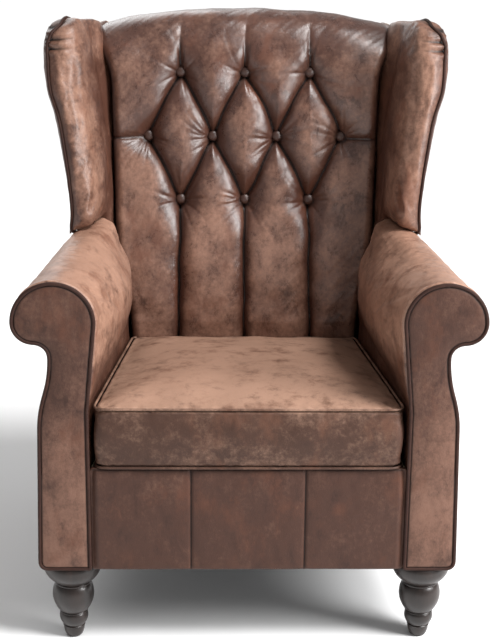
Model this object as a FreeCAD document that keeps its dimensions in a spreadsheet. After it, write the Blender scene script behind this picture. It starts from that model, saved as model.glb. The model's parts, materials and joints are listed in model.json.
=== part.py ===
import FreeCAD, Part
import math
import os
import Sketcher

# Upholstered wing armchair: hardwood frame, sprung seat, stuffed arms, wings and back,
# leather covers, a loose seat cushion with a zip, turned front legs and raked rear legs.
# Millimetres. +Z up, the chair faces -Y, X = 0 is its middle plane, Z = 0 is the floor.
# Outlines measure depth from the front of the arm facings, which stand at Y = -overall_depth / 2.

doc = FreeCAD.newDocument("upholstered_armchair")
dim = doc.addObject("Spreadsheet::Sheet", "dim")

# A size is a number, or a rule that follows the overall width or depth.
DIMENSIONS = [
    ("overall_width", 840), ("overall_depth", 850), ("overall_height", 1090),
    # height of the rails above the floor, depth of the seat frame, width of the outside back
    ("floor_clearance", 158), ("frame_depth", "=overall_depth - 93"),
    ("back_width", "=overall_width - 210"), ("leather", 2), ("rest_gap", 0.3), ("seam_gap", 0.4),
    # front outline of an arm
    ("arm_height", 712), ("scroll_overhang", 36), ("arm_thickness", 98), ("scroll_radius", 75),
    ("lip_radius", 40), ("neck_radius", 24), ("side_lean", 6), ("shoulder_height", 430),
    ("inner_face_height", 470), ("foot_corner", 16),
    # rear outline of an arm, and where it stands
    ("arm_reach", "=overall_depth - 290"), ("arm_rear_taper", 72), ("arm_inner_taper", 46),
    ("arm_rear_drop", 22), ("rear_scroll_radius", 49), ("rear_lip_radius", 20),
    ("rear_neck_radius", 10), ("facing_board", 12), ("piping_radius", 3.5), ("scroll_board", 25),
    ("board_margin", 12),
    # frame
    ("rail_height", 100), ("rail_thickness", 25), ("front_rail_setback", 22), ("side_stuffing", 15),
    ("post_width", 28), ("post_depth", 45), ("post_inset", 7), ("panel", 3), ("crest_height", 60),
    ("crest_depth", 24), ("crest_drop", 45), ("lumbar_base", 430), ("lumbar_height", 45),
    ("arm_rail_base", 590), ("arm_rail_height", 35), ("arm_rail_width", 24), ("block_height", 60),
    ("block_length", 75), ("block_width", 37), ("wing_board", 15),
    # seat springs and deck
    ("wire_radius", 1.8), ("spring_reach", 24), ("spring_bends", 22), ("spring_pitch", 100),
    ("clip_width", 24), ("clip_length", 16), ("clip_wall", 1.5), ("hessian", 1.5),
    ("deck_front", 362), ("deck_slope", 3.5), ("deck_side_gap", 2), ("border_setback", 6),
    ("border_seam", 104),
    # inside back
    ("back_front", "=overall_depth - 292"), ("back_lap", 460), ("back_face_top", 970),
    ("back_face_lean", 82), ("crown_back", "=overall_depth - 115"), ("crown_radius", 135),
    ("crest_radius", 125), ("back_base", 270), ("back_half_low", "=overall_width / 2 - 184"),
    ("back_half_mid", "=overall_width / 2 - 152"), ("back_half_high", "=overall_width / 2 - 144"),
    ("back_half_top", "=overall_width / 2 - 115"), ("crown_drop", 34), ("shoulder_drop", 70),
    ("webbing", 1.5), ("webbing_width", 50), ("webbing_pitch", 90), ("webbing_base", 520),
    # tufting
    ("tuft_spacing", 133.5), ("tuft_row", 130), ("tuft_top_drop", 122), ("tuft_depth", 25),
    ("tuft_mouth", 28), ("button_radius", 10), ("button_thickness", 7), ("twine_radius", 1),
    ("twine_end", 6),
    # wings: low, waist, high and top sections
    ("wing_base", 600), ("wing_waist", 780), ("wing_high", 960), ("nose_radius", 27),
    ("wing_front", "=overall_depth - 410"), ("wing_sweep_waist", 16), ("wing_sweep_high", 50),
    ("wing_sweep_top", 100), ("wing_inset_base", 70), ("wing_inset_waist", 54),
    ("wing_inset_high", 20), ("wing_inset_top", 30), ("wing_join_base", "=overall_width / 2 - 158"),
    ("wing_join_waist", "=overall_width / 2 - 151"), ("wing_join_high", "=overall_width / 2 - 145"),
    ("wing_join_top", "=overall_width / 2 - 112"), ("wing_crown_radius", 90),
    ("wing_peak", "=overall_depth - 260"),
    # loose cushion and its zip
    ("cushion_setback", 5), ("cushion_depth", "=overall_depth - 312"),
    ("cushion_half_front", "=overall_width / 2 - 144"),
    ("cushion_half_rear", "=overall_width / 2 - 189"), ("cushion_side", 116),
    ("cushion_side_rear", 100), ("cushion_crown", 10), ("cushion_crown_mid", 34),
    ("cushion_piping", 2.5), ("cushion_corner", 3), ("zip_length", "=overall_width - 400"),
    ("zip_width", 26), ("zip_tape", 1.5), ("slider_length", 14), ("slider_width", 8),
    ("slider_thickness", 4),
    # legs
    ("leg_setback", 56), ("leg_half_spread", "=overall_width / 2 - 94"), ("leg_cup", 53),
    ("cup_rim", 20), ("cup_flare", 60), ("cloth_clearance", 4), ("glide_height", 3),
    ("glide_radius", 12),
    # turned profile of a front leg: radius, height and roundness of each bead, from the foot up
    ("foot_radius", 16), ("ankle_radius", 18), ("ankle_height", 13), ("ankle_round", 12),
    ("small_ball_top", 22), ("small_ball_height", 41), ("small_ball_round", 19),
    ("fillet_radius", 24), ("fillet_height", 44), ("large_ball_top", 31), ("large_ball_height", 89),
    ("large_ball_round", 27), ("cup_base_radius", 34), ("cup_base_height", 91), ("bolt_radius", 4),
    ("bolt_in_leg", 45), ("bolt_in_block", 45), ("bolt_clearance", 0.2),
    ("rear_leg_half_spread", "=overall_width / 2 - 154"),
    ("rear_leg_setback", "=overall_depth - 170"), ("rear_leg_rake", 60), ("rear_leg_top", 44),
    ("rear_leg_foot", 28),
]

for row, (alias, number) in enumerate(DIMENSIONS, start=1):
    dim.set(f"A{row}", alias)
    dim.set(f"B{row}", str(number))
    dim.setAlias(f"B{row}", alias)
doc.recompute()

# Names for places that several pieces share.
BOTTOM = "dim.floor_clearance"
FRONT = "-dim.overall_depth / 2"
SIDE = "(dim.overall_width / 2)"
BASE_SIDE = "(dim.overall_width / 2 - dim.scroll_overhang)"
INNER_SIDE = "(dim.overall_width / 2 - dim.scroll_overhang - dim.arm_thickness)"
REAR_SIDE = "(dim.back_width / 2)"
COVER_FRONT = "(dim.facing_board + 2 * dim.piping_radius)"
BOARD_BACK = "(dim.facing_board + dim.scroll_board)"
POST_TOP = "(dim.overall_height - dim.shoulder_drop)"
RAIL_TOP = "(dim.floor_clearance + dim.rail_height)"
FACE_SLOPE = "(dim.back_face_lean / (dim.back_face_top - dim.back_lap))"
BACK_SLOPE = ("((dim.overall_depth - dim.frame_depth)"
              " / (dim.overall_height - dim.shoulder_drop - dim.floor_clearance))")


def value(expression):
    """The number that an expression on the sheet gives now."""
    return float(dim.evalExpression(expression))


def base_side_at(depth):
    """Half width of the chair's base, which narrows from the front to the outside back."""
    return f"({BASE_SIDE} - ({BASE_SIDE} - {REAR_SIDE}) * ({depth}) / dim.overall_depth)"


def inner_side_at(depth):
    """Half width between the arms' inner faces at cushion height."""
    return (f"({INNER_SIDE} - dim.arm_inner_taper * (({depth}) - {COVER_FRONT})"
            f" / (dim.arm_reach - {COVER_FRONT}))")


def outside_back_at(height):
    """Depth of the outside back's rear face, which leans back as it rises."""
    return f"(dim.frame_depth + {BACK_SLOPE} * (({height}) - dim.floor_clearance))"


def post_front_at(height):
    return f"({outside_back_at(height)} - dim.post_inset - dim.post_depth)"


def back_face_at(height):
    """Depth of the inside back's front face above the seat."""
    return f"(dim.back_front + {FACE_SLOPE} * (({height}) - dim.back_lap))"


def place(item, x="0", y="0", z="0", axis=None, angle=None):
    """Bind a Placement to the sheet; y counts from the chair's front."""
    item.setExpression("Placement.Base.x", x)
    item.setExpression("Placement.Base.y", f"{FRONT} + ({y})")
    item.setExpression("Placement.Base.z", z)
    if axis:
        item.Placement = FreeCAD.Placement(item.Placement.Base, FreeCAD.Rotation(FreeCAD.Vector(*axis), 1))
        item.setExpression("Placement.Rotation.Angle", angle)


def new_body(label):
    body = doc.addObject("PartDesign::Body", label)
    body.Label = label
    place(body)
    return body


def new_sketch(body, name, plane, offset="0"):
    sketch = body.newObject("Sketcher::SketchObject", name)
    support = next(item for item in body.Origin.OriginFeatures if item.Role == plane)
    sketch.AttachmentSupport = [(support, "")]
    sketch.MapMode = "FlatFace"
    sketch.setExpression("AttachmentOffset.Base.z", offset)
    return sketch


def arc_between(start, end, radius, turn):
    """The shorter arc from start to end; turn is 1 to the left, -1 to the right."""
    chord = end - start
    middle = (start + end) / 2
    rise = math.sqrt(max(radius ** 2 - (chord.Length / 2) ** 2, 0))
    normal = FreeCAD.Vector(-chord.y, chord.x, 0).normalize()
    centre = middle + normal * rise * turn
    first, last = (start, end) if turn > 0 else (end, start)
    angles = [math.atan2(point.y - centre.y, point.x - centre.x) for point in (first, last)]
    circle = Part.Circle(centre, FreeCAD.Vector(0, 0, 1), radius)
    return Part.ArcOfCircle(circle, *angles)


def draw(sketch, points, closed=True):
    """Draw a chain of lines and arcs whose corners and radii follow the sheet.

    A point is (x, y) at the end of a line, or (x, y, radius, turn) at the end of an arc.
    """
    places = [FreeCAD.Vector(value(point[0]), value(point[1]), 0) for point in points]
    order = list(range(1, len(points))) + ([0] if closed else [])
    edges = []
    for end in order:
        start_place = places[end - 1]
        point = points[end]
        if len(point) == 2:
            geometry = Part.LineSegment(start_place, places[end])
            ends = (1, 2)
        else:
            geometry = arc_between(start_place, places[end], value(point[2]), point[3])
            ends = (1, 2) if point[3] > 0 else (2, 1)
        edges.append((sketch.addGeometry(geometry), ends, end))
    for (edge, ends, _), (following, next_ends, _) in zip(edges, edges[1:] + edges[:1] * closed):
        sketch.addConstraint(Sketcher.Constraint("Coincident", edge, ends[1], following, next_ends[0]))
    fixed = [(edge, ends[1], end) for edge, ends, end in edges]
    if not closed:
        fixed.append((edges[0][0], edges[0][1][0], 0))
    for edge, corner, index in fixed:
        for kind, number, expression in (("DistanceX", places[index].x, points[index][0]),
                                         ("DistanceY", places[index].y, points[index][1])):
            rule = Sketcher.Constraint(kind, -1, 1, edge, corner, number)
            sketch.setExpression(f"Constraints[{sketch.addConstraint(rule)}]", expression)
    for edge, _, end in edges:
        if len(points[end]) == 4:
            rule = Sketcher.Constraint("Radius", edge, value(points[end][2]))
            sketch.setExpression(f"Constraints[{sketch.addConstraint(rule)}]", points[end][2])
    return sketch


def draw_circle(sketch, x, y, radius):
    centre = FreeCAD.Vector(value(x), value(y), 0)
    edge = sketch.addGeometry(Part.Circle(centre, FreeCAD.Vector(0, 0, 1), value(radius)))
    for kind, number, expression in (("DistanceX", centre.x, x), ("DistanceY", centre.y, y)):
        rule = Sketcher.Constraint(kind, -1, 1, edge, 3, number)
        sketch.setExpression(f"Constraints[{sketch.addConstraint(rule)}]", expression)
    rule = Sketcher.Constraint("Radius", edge, value(radius))
    sketch.setExpression(f"Constraints[{sketch.addConstraint(rule)}]", radius)


def pad(label, plane, points, length, start="0"):
    """A body padded from one outline, from start along the plane's normal."""
    body = new_body(label)
    sketch = draw(new_sketch(body, label + "_outline", plane, start), points)
    feature = body.newObject("PartDesign::Pad", label + "_pad")
    feature.Profile = sketch
    feature.setExpression("Length", length)
    return body


def loft(label, plane, sections, ruled=True):
    """A body lofted through outlines; each section is (offset along the normal, outline)."""
    body = new_body(label)
    sketches = [draw(new_sketch(body, f"{label}_section_{number}", plane, offset), points)
                for number, (offset, points) in enumerate(sections, start=1)]
    feature = body.newObject("PartDesign::AdditiveLoft", label + "_loft")
    feature.Profile = sketches[0]
    feature.Sections = sketches[1:]
    feature.Ruled = ruled
    return body


def rectangle(left, right, low, high):
    return [(left, low), (right, low), (right, high), (left, high)]


def box(label, x, y, z, width, depth, height, axis=None, angle=None):
    item = doc.addObject("Part::Box", label)
    item.Label = label
    item.setExpression("Length", width)
    item.setExpression("Width", depth)
    item.setExpression("Height", height)
    place(item, x, y, z, axis, angle)
    return item


def cylinder(label, x, y, z, radius, height, axis=None, angle=None):
    item = doc.addObject("Part::Cylinder", label)
    item.Label = label
    item.setExpression("Radius", radius)
    item.setExpression("Height", height)
    place(item, x, y, z, axis, angle)
    return item


def combine(kind, label, base, tool):
    item = doc.addObject("Part::" + kind, label)
    item.Label = label
    item.Base = base
    item.Tool = tool
    return item


def cut(label, base, *tools):
    """The base without each tool; the last cut carries the label."""
    result = base
    for number, tool in enumerate(tools, start=1):
        name = label if number == len(tools) else f"{label}_less_{number}"
        result = combine("Cut", name, result, tool)
    return result


def group(label, members):
    item = doc.addObject("Part::Compound", label)
    item.Label = label
    item.Links = members
    return item


def mirrored(label, source):
    item = doc.addObject("Part::Mirroring", label)
    item.Label = label
    item.Source = source
    item.Base = FreeCAD.Vector(0, 0, 0)
    item.Normal = FreeCAD.Vector(1, 0, 0)
    return item


# Every finished sub-part: node name -> document object.
nodes = {}


def keep(item):
    nodes[item.Label] = item
    return item


def keep_pair(item):
    """Keep a left piece, named left_..., and its mirror image."""
    keep(item)
    keep(mirrored("right_" + item.Label[len("left_"):], item))
    return item


# ---- arms: outline from the inner bottom corner, up, over the scroll and down outside ----

def front_arm_outline(inset="0", sink="0"):
    """The outline at the facing; inset shrinks it, sink lowers only its bottom edge."""
    bottom = f"{BOTTOM} - ({sink})"
    inner = f"{INNER_SIDE} + ({inset})"
    scroll_z = "(dim.arm_height - dim.scroll_radius)"
    scroll_x = f"({SIDE} - dim.scroll_radius)"
    lip_z = f"({scroll_z} - dim.lip_radius)"
    neck_x = f"({SIDE} - dim.lip_radius - dim.neck_radius)"
    neck_z = f"({lip_z} - dim.neck_radius)"
    return scroll_outline(bottom, inner, inset, scroll_x, scroll_z, "dim.scroll_radius",
                          "dim.lip_radius", "dim.neck_radius", lip_z, neck_x, neck_z, BASE_SIDE)


def rear_arm_outline(inset="0", sink="0"):
    """The smaller outline where the arm meets the wing and the inside back."""
    bottom = f"{BOTTOM} - ({sink})"
    inner = f"{INNER_SIDE} - dim.arm_inner_taper + ({inset})"
    side = f"({SIDE} - dim.arm_rear_taper)"
    scroll_z = "(dim.arm_height - dim.arm_rear_drop - dim.rear_scroll_radius)"
    scroll_x = f"({side} - dim.rear_scroll_radius)"
    lip_z = f"({scroll_z} - dim.rear_lip_radius)"
    neck_x = f"({side} - dim.rear_lip_radius - dim.rear_neck_radius)"
    neck_z = f"({lip_z} - dim.rear_neck_radius)"
    return scroll_outline(bottom, inner, inset, scroll_x, scroll_z, "dim.rear_scroll_radius",
                          "dim.rear_lip_radius", "dim.rear_neck_radius", lip_z, neck_x, neck_z,
                          base_side_at("dim.arm_reach"))


def scroll_outline(bottom, inner, inset, scroll_x, scroll_z, scroll, lip, neck,
                   lip_z, neck_x, neck_z, base):
    shoulder = f"({base} - dim.side_lean - ({inset}))"
    middle_x = f"(({neck_x} - ({inset}) + {shoulder}) / 2)"
    middle_z = f"(({neck_z} + dim.shoulder_height) / 2)"
    swing = (f"((({neck_z} - dim.shoulder_height) ^ 2 + ({shoulder} - {neck_x} + ({inset})) ^ 2)"
             f" / (4 * ({shoulder} - {neck_x} + ({inset}))))")
    return [
        (inner, bottom),
        (inner, "dim.inner_face_height"),
        (f"{scroll_x} - {scroll} + ({inset})", scroll_z),
        (scroll_x, f"{scroll_z} + {scroll} - ({inset})", f"{scroll} - ({inset})", -1),
        (f"{scroll_x} + {scroll} - ({inset})", scroll_z, f"{scroll} - ({inset})", -1),
        (f"{scroll_x} + {scroll} - {lip}", f"{lip_z} + ({inset})", f"{lip} - ({inset})", -1),
        (f"{neck_x} - ({inset})", neck_z, f"{neck} + ({inset})", 1),
        (middle_x, middle_z, swing, 1),
        (shoulder, "dim.shoulder_height", swing, -1),
        (f"{base} - ({inset})", f"{bottom} + dim.foot_corner"),
        (f"{base} - dim.foot_corner", bottom, "dim.foot_corner", -1),
    ]


def arm_solid(label, inset, sink, front, back):
    """The arm between two depths, on straight lines between its front and rear outlines."""
    sections = [(f"-({front})", front_arm_outline(inset, sink)),
                (f"-({back})", rear_arm_outline(inset, sink))]
    return loft(label, "XZ_Plane", sections)


def side_panel_outline(front, thickness="dim.panel"):
    """A thin strip up the outside of the base, from its rounded foot to the neck under the scroll."""
    outline = front_arm_outline() if front else rear_arm_outline()
    inner = front_arm_outline(thickness) if front else rear_arm_outline(thickness)
    foot_x = outline[10][0]
    return [
        (foot_x, BOTTOM),
        (*outline[9], "dim.foot_corner", 1),
        outline[8][:2],
        (*outline[7][:2], outline[8][2], 1),
        (*outline[6][:2], outline[7][2], -1),
        inner[6][:2],
        inner[7],
        inner[8],
        inner[9],
        (foot_x, f"{BOTTOM} + {thickness}", f"dim.foot_corner - {thickness}", -1),
    ]


# ---- inside back: outline from the side, and the same solid seen from the front ----

def back_side_outline(inset="0", overrun="0"):
    """Front face, crown and crest, closed behind at the webbing; overrun pushes out the back."""
    crest_z = "dim.overall_height - dim.shoulder_drop"
    rear_top = f"{outside_back_at(crest_z)} - dim.panel"
    step_z = "(dim.overall_height - dim.crest_drop - dim.crest_height)"
    base = f"dim.back_base - ({overrun})"
    web = f"- dim.webbing + ({overrun})"
    return [
        (f"dim.back_front + ({inset})", base),
        (f"dim.back_front + ({inset})", "dim.back_lap"),
        (f"{back_face_at('dim.back_face_top')} + ({inset})", "dim.back_face_top"),
        ("dim.crown_back", f"dim.overall_height - ({inset})", f"dim.crown_radius - ({inset})", -1),
        (f"{rear_top} - ({inset})", crest_z, f"dim.crest_radius - ({inset})", -1),
        (f"{outside_back_at(step_z)} - dim.panel - ({inset})", step_z),
        (f"{post_front_at(step_z)} {web}", step_z),
        (f"{post_front_at(base)} {web}", base),
    ]


def back_front_outline(inset="0", overrun="0"):
    """Half widths of the inside back, narrow at the seat and widest at the crown corners."""
    corner_z = "(dim.overall_height - dim.crown_drop)"
    half = "dim.back_half_top"
    bow = f"(({half} ^ 2 + dim.crown_drop ^ 2) / (2 * dim.crown_drop))"
    right = [
        (f"dim.back_half_low - ({inset})", f"dim.back_base - ({overrun})"),
        (f"dim.back_half_low - ({inset})", "dim.back_lap"),
        (f"dim.back_half_mid - ({inset})", "dim.wing_base"),
        (f"dim.back_half_high - ({inset})", "dim.back_face_top"),
        (f"{half} - ({inset})", f"{corner_z} - ({inset})"),
    ]
    crown = [("0", f"dim.overall_height - ({inset})", bow, 1)]
    left = [(f"-({point[0]})", point[1]) for point in reversed(right)]
    left[0] = (*left[0], bow, 1)
    return right + crown + left


def back_solid(label, inset, overrun):
    side = pad(label + "_side", "YZ_Plane", back_side_outline(inset, overrun),
               "dim.back_width + 2 * dim.panel", "-dim.back_width / 2 - dim.panel")
    front = pad(label + "_front", "XZ_Plane", back_front_outline(inset, overrun),
                "dim.overall_depth", "-dim.overall_depth - dim.panel")
    return combine("Common", label, side, front)


# ---- wings: plan sections at four heights, trimmed by a rounded top ----

def wing_section(inset_name, sweep, join, height, inset="0"):
    """A plan of the wing: outside face, round nose, inside face and the hidden back edge."""
    outer = f"({SIDE} - {inset_name} - ({inset}))"
    nose = f"(dim.nose_radius - ({inset}))"
    front = f"(dim.wing_front + {sweep} + dim.nose_radius)"
    rear = f"({outside_back_at(height)} - dim.panel)"
    return [
        (f"{REAR_SIDE} - ({inset})", rear),
        (outer, front),
        (f"{outer} - {nose}", f"{front} - {nose}", nose, -1),
        (f"{outer} - 2 * {nose}", front, nose, -1),
        (f"{join} + ({inset})", f"{back_face_at(height)} + dim.nose_radius"),
        (f"{join} + ({inset})", rear),
    ]


def wing_loft(label, inset):
    top = "dim.overall_height + dim.leather"
    return loft(label, "XY_Plane", [
        ("dim.wing_base", wing_section("dim.wing_inset_base", "0", "dim.wing_join_base",
                                       "dim.wing_base", inset)),
        ("dim.wing_waist", wing_section("dim.wing_inset_waist", "dim.wing_sweep_waist",
                                        "dim.wing_join_waist", "dim.wing_waist", inset)),
        ("dim.wing_high", wing_section("dim.wing_inset_high", "dim.wing_sweep_high",
                                       "dim.wing_join_high", "dim.wing_high", inset)),
        (top, wing_section("dim.wing_inset_top", "dim.wing_sweep_top", "dim.wing_join_top",
                           "dim.overall_height", inset)),
    ])


def wing_trim(label, inset):
    """A side view of the wing: it stands on the arm's scroll, and its top rises to a peak."""
    top = f"(dim.overall_height - ({inset}))"
    low = "(dim.wing_base - dim.panel)"
    step = "(dim.arm_height - dim.arm_rear_drop - dim.rear_scroll_radius)"
    radius = "dim.wing_crown_radius"
    shoulder = f"({outside_back_at(POST_TOP)} - dim.panel)"
    return pad(label, "YZ_Plane", [
        ("dim.wing_front - dim.panel", step),
        ("dim.wing_front - dim.panel", f"{top} - 1.5 * {radius}"),
        (f"dim.wing_peak - {radius}", f"{top} - {radius}"),
        ("dim.wing_peak", top, radius, -1),
        (shoulder, f"{top} - dim.shoulder_drop"),
        (shoulder, low),
        ("dim.arm_reach", low),
        ("dim.arm_reach", step),
    ], "dim.overall_width / 2", "0")


def wing_solid(label, inset):
    return combine("Common", label, wing_loft(label + "_loft", inset), wing_trim(label + "_trim", inset))


# ---- frame ----

front_rail = keep(box("seat_front_rail", f"-{INNER_SIDE} - dim.board_margin", "dim.front_rail_setback",
                      BOTTOM, f"2 * ({INNER_SIDE} + dim.board_margin)", "dim.rail_thickness",
                      "dim.rail_height"))

post_foot = post_front_at("dim.floor_clearance")
back_rail = keep(box("seat_back_rail", f"-{REAR_SIDE} + dim.post_inset + dim.post_width", post_foot,
                     BOTTOM, f"2 * ({REAR_SIDE} - dim.post_inset - dim.post_width)",
                     "dim.rail_thickness", "dim.rail_height"))


def rail_outer_at(depth):
    """The side rail's outer face, on a straight line from the scroll board to the back post."""
    front = f"({base_side_at(BOARD_BACK)} - dim.side_stuffing)"
    rear = f"({REAR_SIDE} - dim.post_inset)"
    return f"({front} - ({front} - {rear}) * (({depth}) - {BOARD_BACK}) / ({post_foot} - {BOARD_BACK}))"


def side_rail(label):
    front = rail_outer_at(BOARD_BACK)
    rear = rail_outer_at(post_foot)
    return pad(label, "XY_Plane", [
        (f"{front} - dim.rail_thickness", BOARD_BACK),
        (front, BOARD_BACK),
        (rear, post_foot),
        (f"{rear} - dim.rail_thickness", post_foot),
    ], "dim.rail_height", BOTTOM)


left_side_rail = keep_pair(side_rail("left_seat_rail"))


def back_post(label):
    outer = f"{REAR_SIDE} - dim.post_inset - dim.post_width"
    foot = f"{outside_back_at('dim.floor_clearance')} - dim.post_inset"
    head = f"{outside_back_at(POST_TOP)} - dim.post_inset"
    return pad(label, "YZ_Plane", [
        (f"{foot} - dim.post_depth", BOTTOM),
        (foot, BOTTOM),
        (head, POST_TOP),
        (f"{head} - dim.post_depth", POST_TOP),
    ], "dim.post_width", outer)


left_post = keep_pair(back_post("left_back_post"))

post_gap = f"({REAR_SIDE} - dim.post_inset - dim.post_width)"
crest_base = "(dim.overall_height - dim.crest_drop - dim.crest_height)"


def cross_rail(label, low, high, depth):
    """A rail between the two back posts, flush with their front faces and as raked as they are."""
    return pad(label, "YZ_Plane", [
        (post_front_at(low), low),
        (f"{post_front_at(low)} + {depth}", low),
        (f"{post_front_at(high)} + {depth}", high),
        (post_front_at(high), high),
    ], f"2 * {post_gap}", f"-{post_gap}")


crest_rail = keep(cross_rail("crest_rail", crest_base, POST_TOP, "dim.crest_depth"))
lumbar_rail = keep(cross_rail("lumbar_rail", "dim.lumbar_base", "dim.lumbar_base + dim.lumbar_height",
                              "dim.crest_depth"))

scroll_board = keep_pair(pad("left_arm_scroll_board", "XZ_Plane", front_arm_outline("dim.board_margin"),
                             "dim.scroll_board", f"-{BOARD_BACK}"))


def arm_rail(label):
    front_outer = f"({SIDE} - dim.scroll_radius - dim.board_margin / 4)"
    rear_outer = f"({REAR_SIDE} - dim.post_inset - (dim.post_width - dim.arm_rail_width))"
    rear_end = post_front_at("dim.arm_rail_base")
    return pad(label, "XY_Plane", [
        (f"{front_outer} - dim.arm_rail_width", BOARD_BACK),
        (front_outer, BOARD_BACK),
        (rear_outer, rear_end),
        (f"{rear_outer} - dim.arm_rail_width", rear_end),
    ], "dim.arm_rail_height", "dim.arm_rail_base")


left_arm_rail = keep_pair(arm_rail("left_arm_rail"))


# ---- pieces that the wing boards pass or touch ----

def webbing_strap(number):
    low = f"(dim.webbing_base + dim.webbing_pitch * {number})"
    high = f"({low} + dim.webbing_width)"
    return pad(f"back_strap_{number}", "YZ_Plane", [
        (f"{post_front_at(low)} - dim.webbing", low),
        (post_front_at(low), low),
        (post_front_at(high), high),
        (f"{post_front_at(high)} - dim.webbing", high),
    ], f"2 * ({post_gap} + dim.post_width)", f"-{post_gap} - dim.post_width")


keep(group("back_webbing", [webbing_strap(number) for number in range(5)]))


def strip_between(label, front, back, sections):
    return loft(label, "XZ_Plane", [(f"-({front})", sections[0]), (f"-({back})", sections[1])])


# The outside panel is a strip of the arm's outer face, carried on straight to the outside back.
panel_front = strip_between("side_panel_front", COVER_FRONT, "dim.arm_reach",
                            (side_panel_outline(True), side_panel_outline(False)))


def rear_panel_outline():
    """The same strip where it meets the outside back, where the base is upright."""
    outer = REAR_SIDE
    inner = f"({REAR_SIDE} - dim.panel)"
    neck_z = side_panel_outline(False)[4][1]
    bend_z = f"({neck_z} + dim.shoulder_height) / 2"
    foot_z = f"{BOTTOM} + dim.foot_corner"
    foot_x = f"{outer} - dim.foot_corner"
    return [(foot_x, BOTTOM), (outer, foot_z), (outer, "dim.shoulder_height"), (outer, bend_z),
            (outer, neck_z), (inner, neck_z), (inner, bend_z), (inner, "dim.shoulder_height"),
            (inner, foot_z), (foot_x, f"{BOTTOM} + dim.panel")]


def straight(points):
    """The same corners joined by lines only."""
    return [point[:2] for point in points]


panel_end = f"({outside_back_at(side_panel_outline(False)[4][1])} - dim.panel)"
panel_rear = strip_between("side_panel_rear", "dim.arm_reach", panel_end,
                           (straight(side_panel_outline(False)), rear_panel_outline()))
behind = pad("behind_outside_back", "YZ_Plane", [
    (f"{outside_back_at('0')} - dim.panel", "0"),
    (f"{outside_back_at('dim.overall_height')} - dim.panel", "dim.overall_height"),
    ("2 * dim.overall_depth", "dim.overall_height"),
    ("2 * dim.overall_depth", "0"),
], "dim.overall_width", "-dim.overall_width / 2")
side_panel = cut("left_outside_arm_panel", combine("Fuse", "side_panel_blank", panel_front, panel_rear),
                 behind, left_post, scroll_board)
keep_pair(side_panel)

back_outer = back_solid("back_outer", "0", "0")
back_inner = back_solid("back_inner", "dim.leather", "dim.panel")


def wing_board(label):
    """A shaped board from the arm rail to the crest, thinner than the stuffing around it."""
    def section(inset_name, sweep, height):
        outer = f"({SIDE} - {inset_name} - dim.nose_radius + dim.wing_board / 2)"
        front = f"(dim.wing_front + {sweep} + 2 * dim.nose_radius)"
        rear = f"({REAR_SIDE} - dim.post_inset)"
        back = f"({post_front_at(height)} + dim.post_depth)"
        return [(rear, back), (outer, front), (f"{outer} - dim.wing_board", front),
                (f"{rear} - dim.wing_board", back)]
    top = "(dim.overall_height - dim.crest_drop)"
    board = loft(label + "_blank", "XY_Plane", [
        ("dim.arm_rail_base + dim.arm_rail_height",
         section("dim.wing_inset_base", "0", "(dim.arm_rail_base + dim.arm_rail_height)")),
        ("dim.wing_waist", section("dim.wing_inset_waist", "dim.wing_sweep_waist", "dim.wing_waist")),
        ("dim.wing_high", section("dim.wing_inset_high", "dim.wing_sweep_high", "dim.wing_high")),
        (top, section("dim.wing_inset_top", "dim.wing_sweep_top", top)),
    ])
    return cut(label, board, left_post, nodes["back_webbing"], side_panel, back_outer)


left_wing_board = keep_pair(wing_board("left_wing_board"))


# ---- legs, blocks, bolts and glides ----

leg_top = "dim.floor_clearance"


def front_leg(label):
    """A turned leg: glide seat, small ball, neck, large ball, neck and flared cup."""
    body = new_body(label)
    place(body, "dim.leg_half_spread", "dim.leg_setback", "0")
    bore = "dim.bolt_radius + dim.bolt_clearance"
    outline = [
        (bore, f"{leg_top} - dim.bolt_in_leg"),
        ("0", f"{leg_top} - dim.bolt_in_leg"),
        ("0", "dim.glide_height"),
        ("dim.foot_radius", "dim.glide_height"),
        ("dim.ankle_radius", "dim.ankle_height", "dim.ankle_round", 1),
        ("dim.small_ball_top", "dim.small_ball_height", "dim.small_ball_round", 1),
        ("dim.fillet_radius", "dim.fillet_height"),
        ("dim.large_ball_top", "dim.large_ball_height", "dim.large_ball_round", 1),
        ("dim.cup_base_radius", "dim.cup_base_height"),
        ("dim.leg_cup", f"{leg_top} - dim.cup_rim", "dim.cup_flare", -1),
        ("dim.leg_cup", leg_top),
        (bore, leg_top),
    ]
    sketch = draw(new_sketch(body, label + "_profile", "XZ_Plane"), outline)
    turned = body.newObject("PartDesign::Revolution", label + "_turning")
    turned.Profile = sketch
    turned.ReferenceAxis = (sketch, ["V_Axis"])
    turned.Angle = 360
    return body


left_front_leg = keep_pair(front_leg("left_front_leg"))


def rear_leg(label):
    """A square leg that tapers and rakes back, bored for its bolt."""
    def square(size, rake):
        return rectangle(f"dim.rear_leg_half_spread - {size} / 2", f"dim.rear_leg_half_spread + {size} / 2",
                         f"dim.rear_leg_setback + {rake} - {size} / 2",
                         f"dim.rear_leg_setback + {rake} + {size} / 2")
    blank = loft(label + "_blank", "XY_Plane", [
        ("dim.glide_height", square("dim.rear_leg_foot", "dim.rear_leg_rake")),
        (leg_top, square("dim.rear_leg_top", "0")),
    ])
    bore = cylinder(label + "_bore", "dim.rear_leg_half_spread", "dim.rear_leg_setback",
                    f"{leg_top} - dim.bolt_in_leg", "dim.bolt_radius + dim.bolt_clearance",
                    "dim.bolt_in_leg + 1")
    return cut(label, blank, bore)


left_rear_leg = keep_pair(rear_leg("left_rear_leg"))

# Leg places: (side, x, y) for the four legs.
leg_places = [("left_front", "dim.leg_half_spread", "dim.leg_setback"),
              ("left_rear", "dim.rear_leg_half_spread", "dim.rear_leg_setback")]


def both_sides(label, left_items):
    """One node of left pieces and their mirror images."""
    return group(label, left_items + [mirrored("right_" + item.Label, item) for item in left_items])


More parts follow.
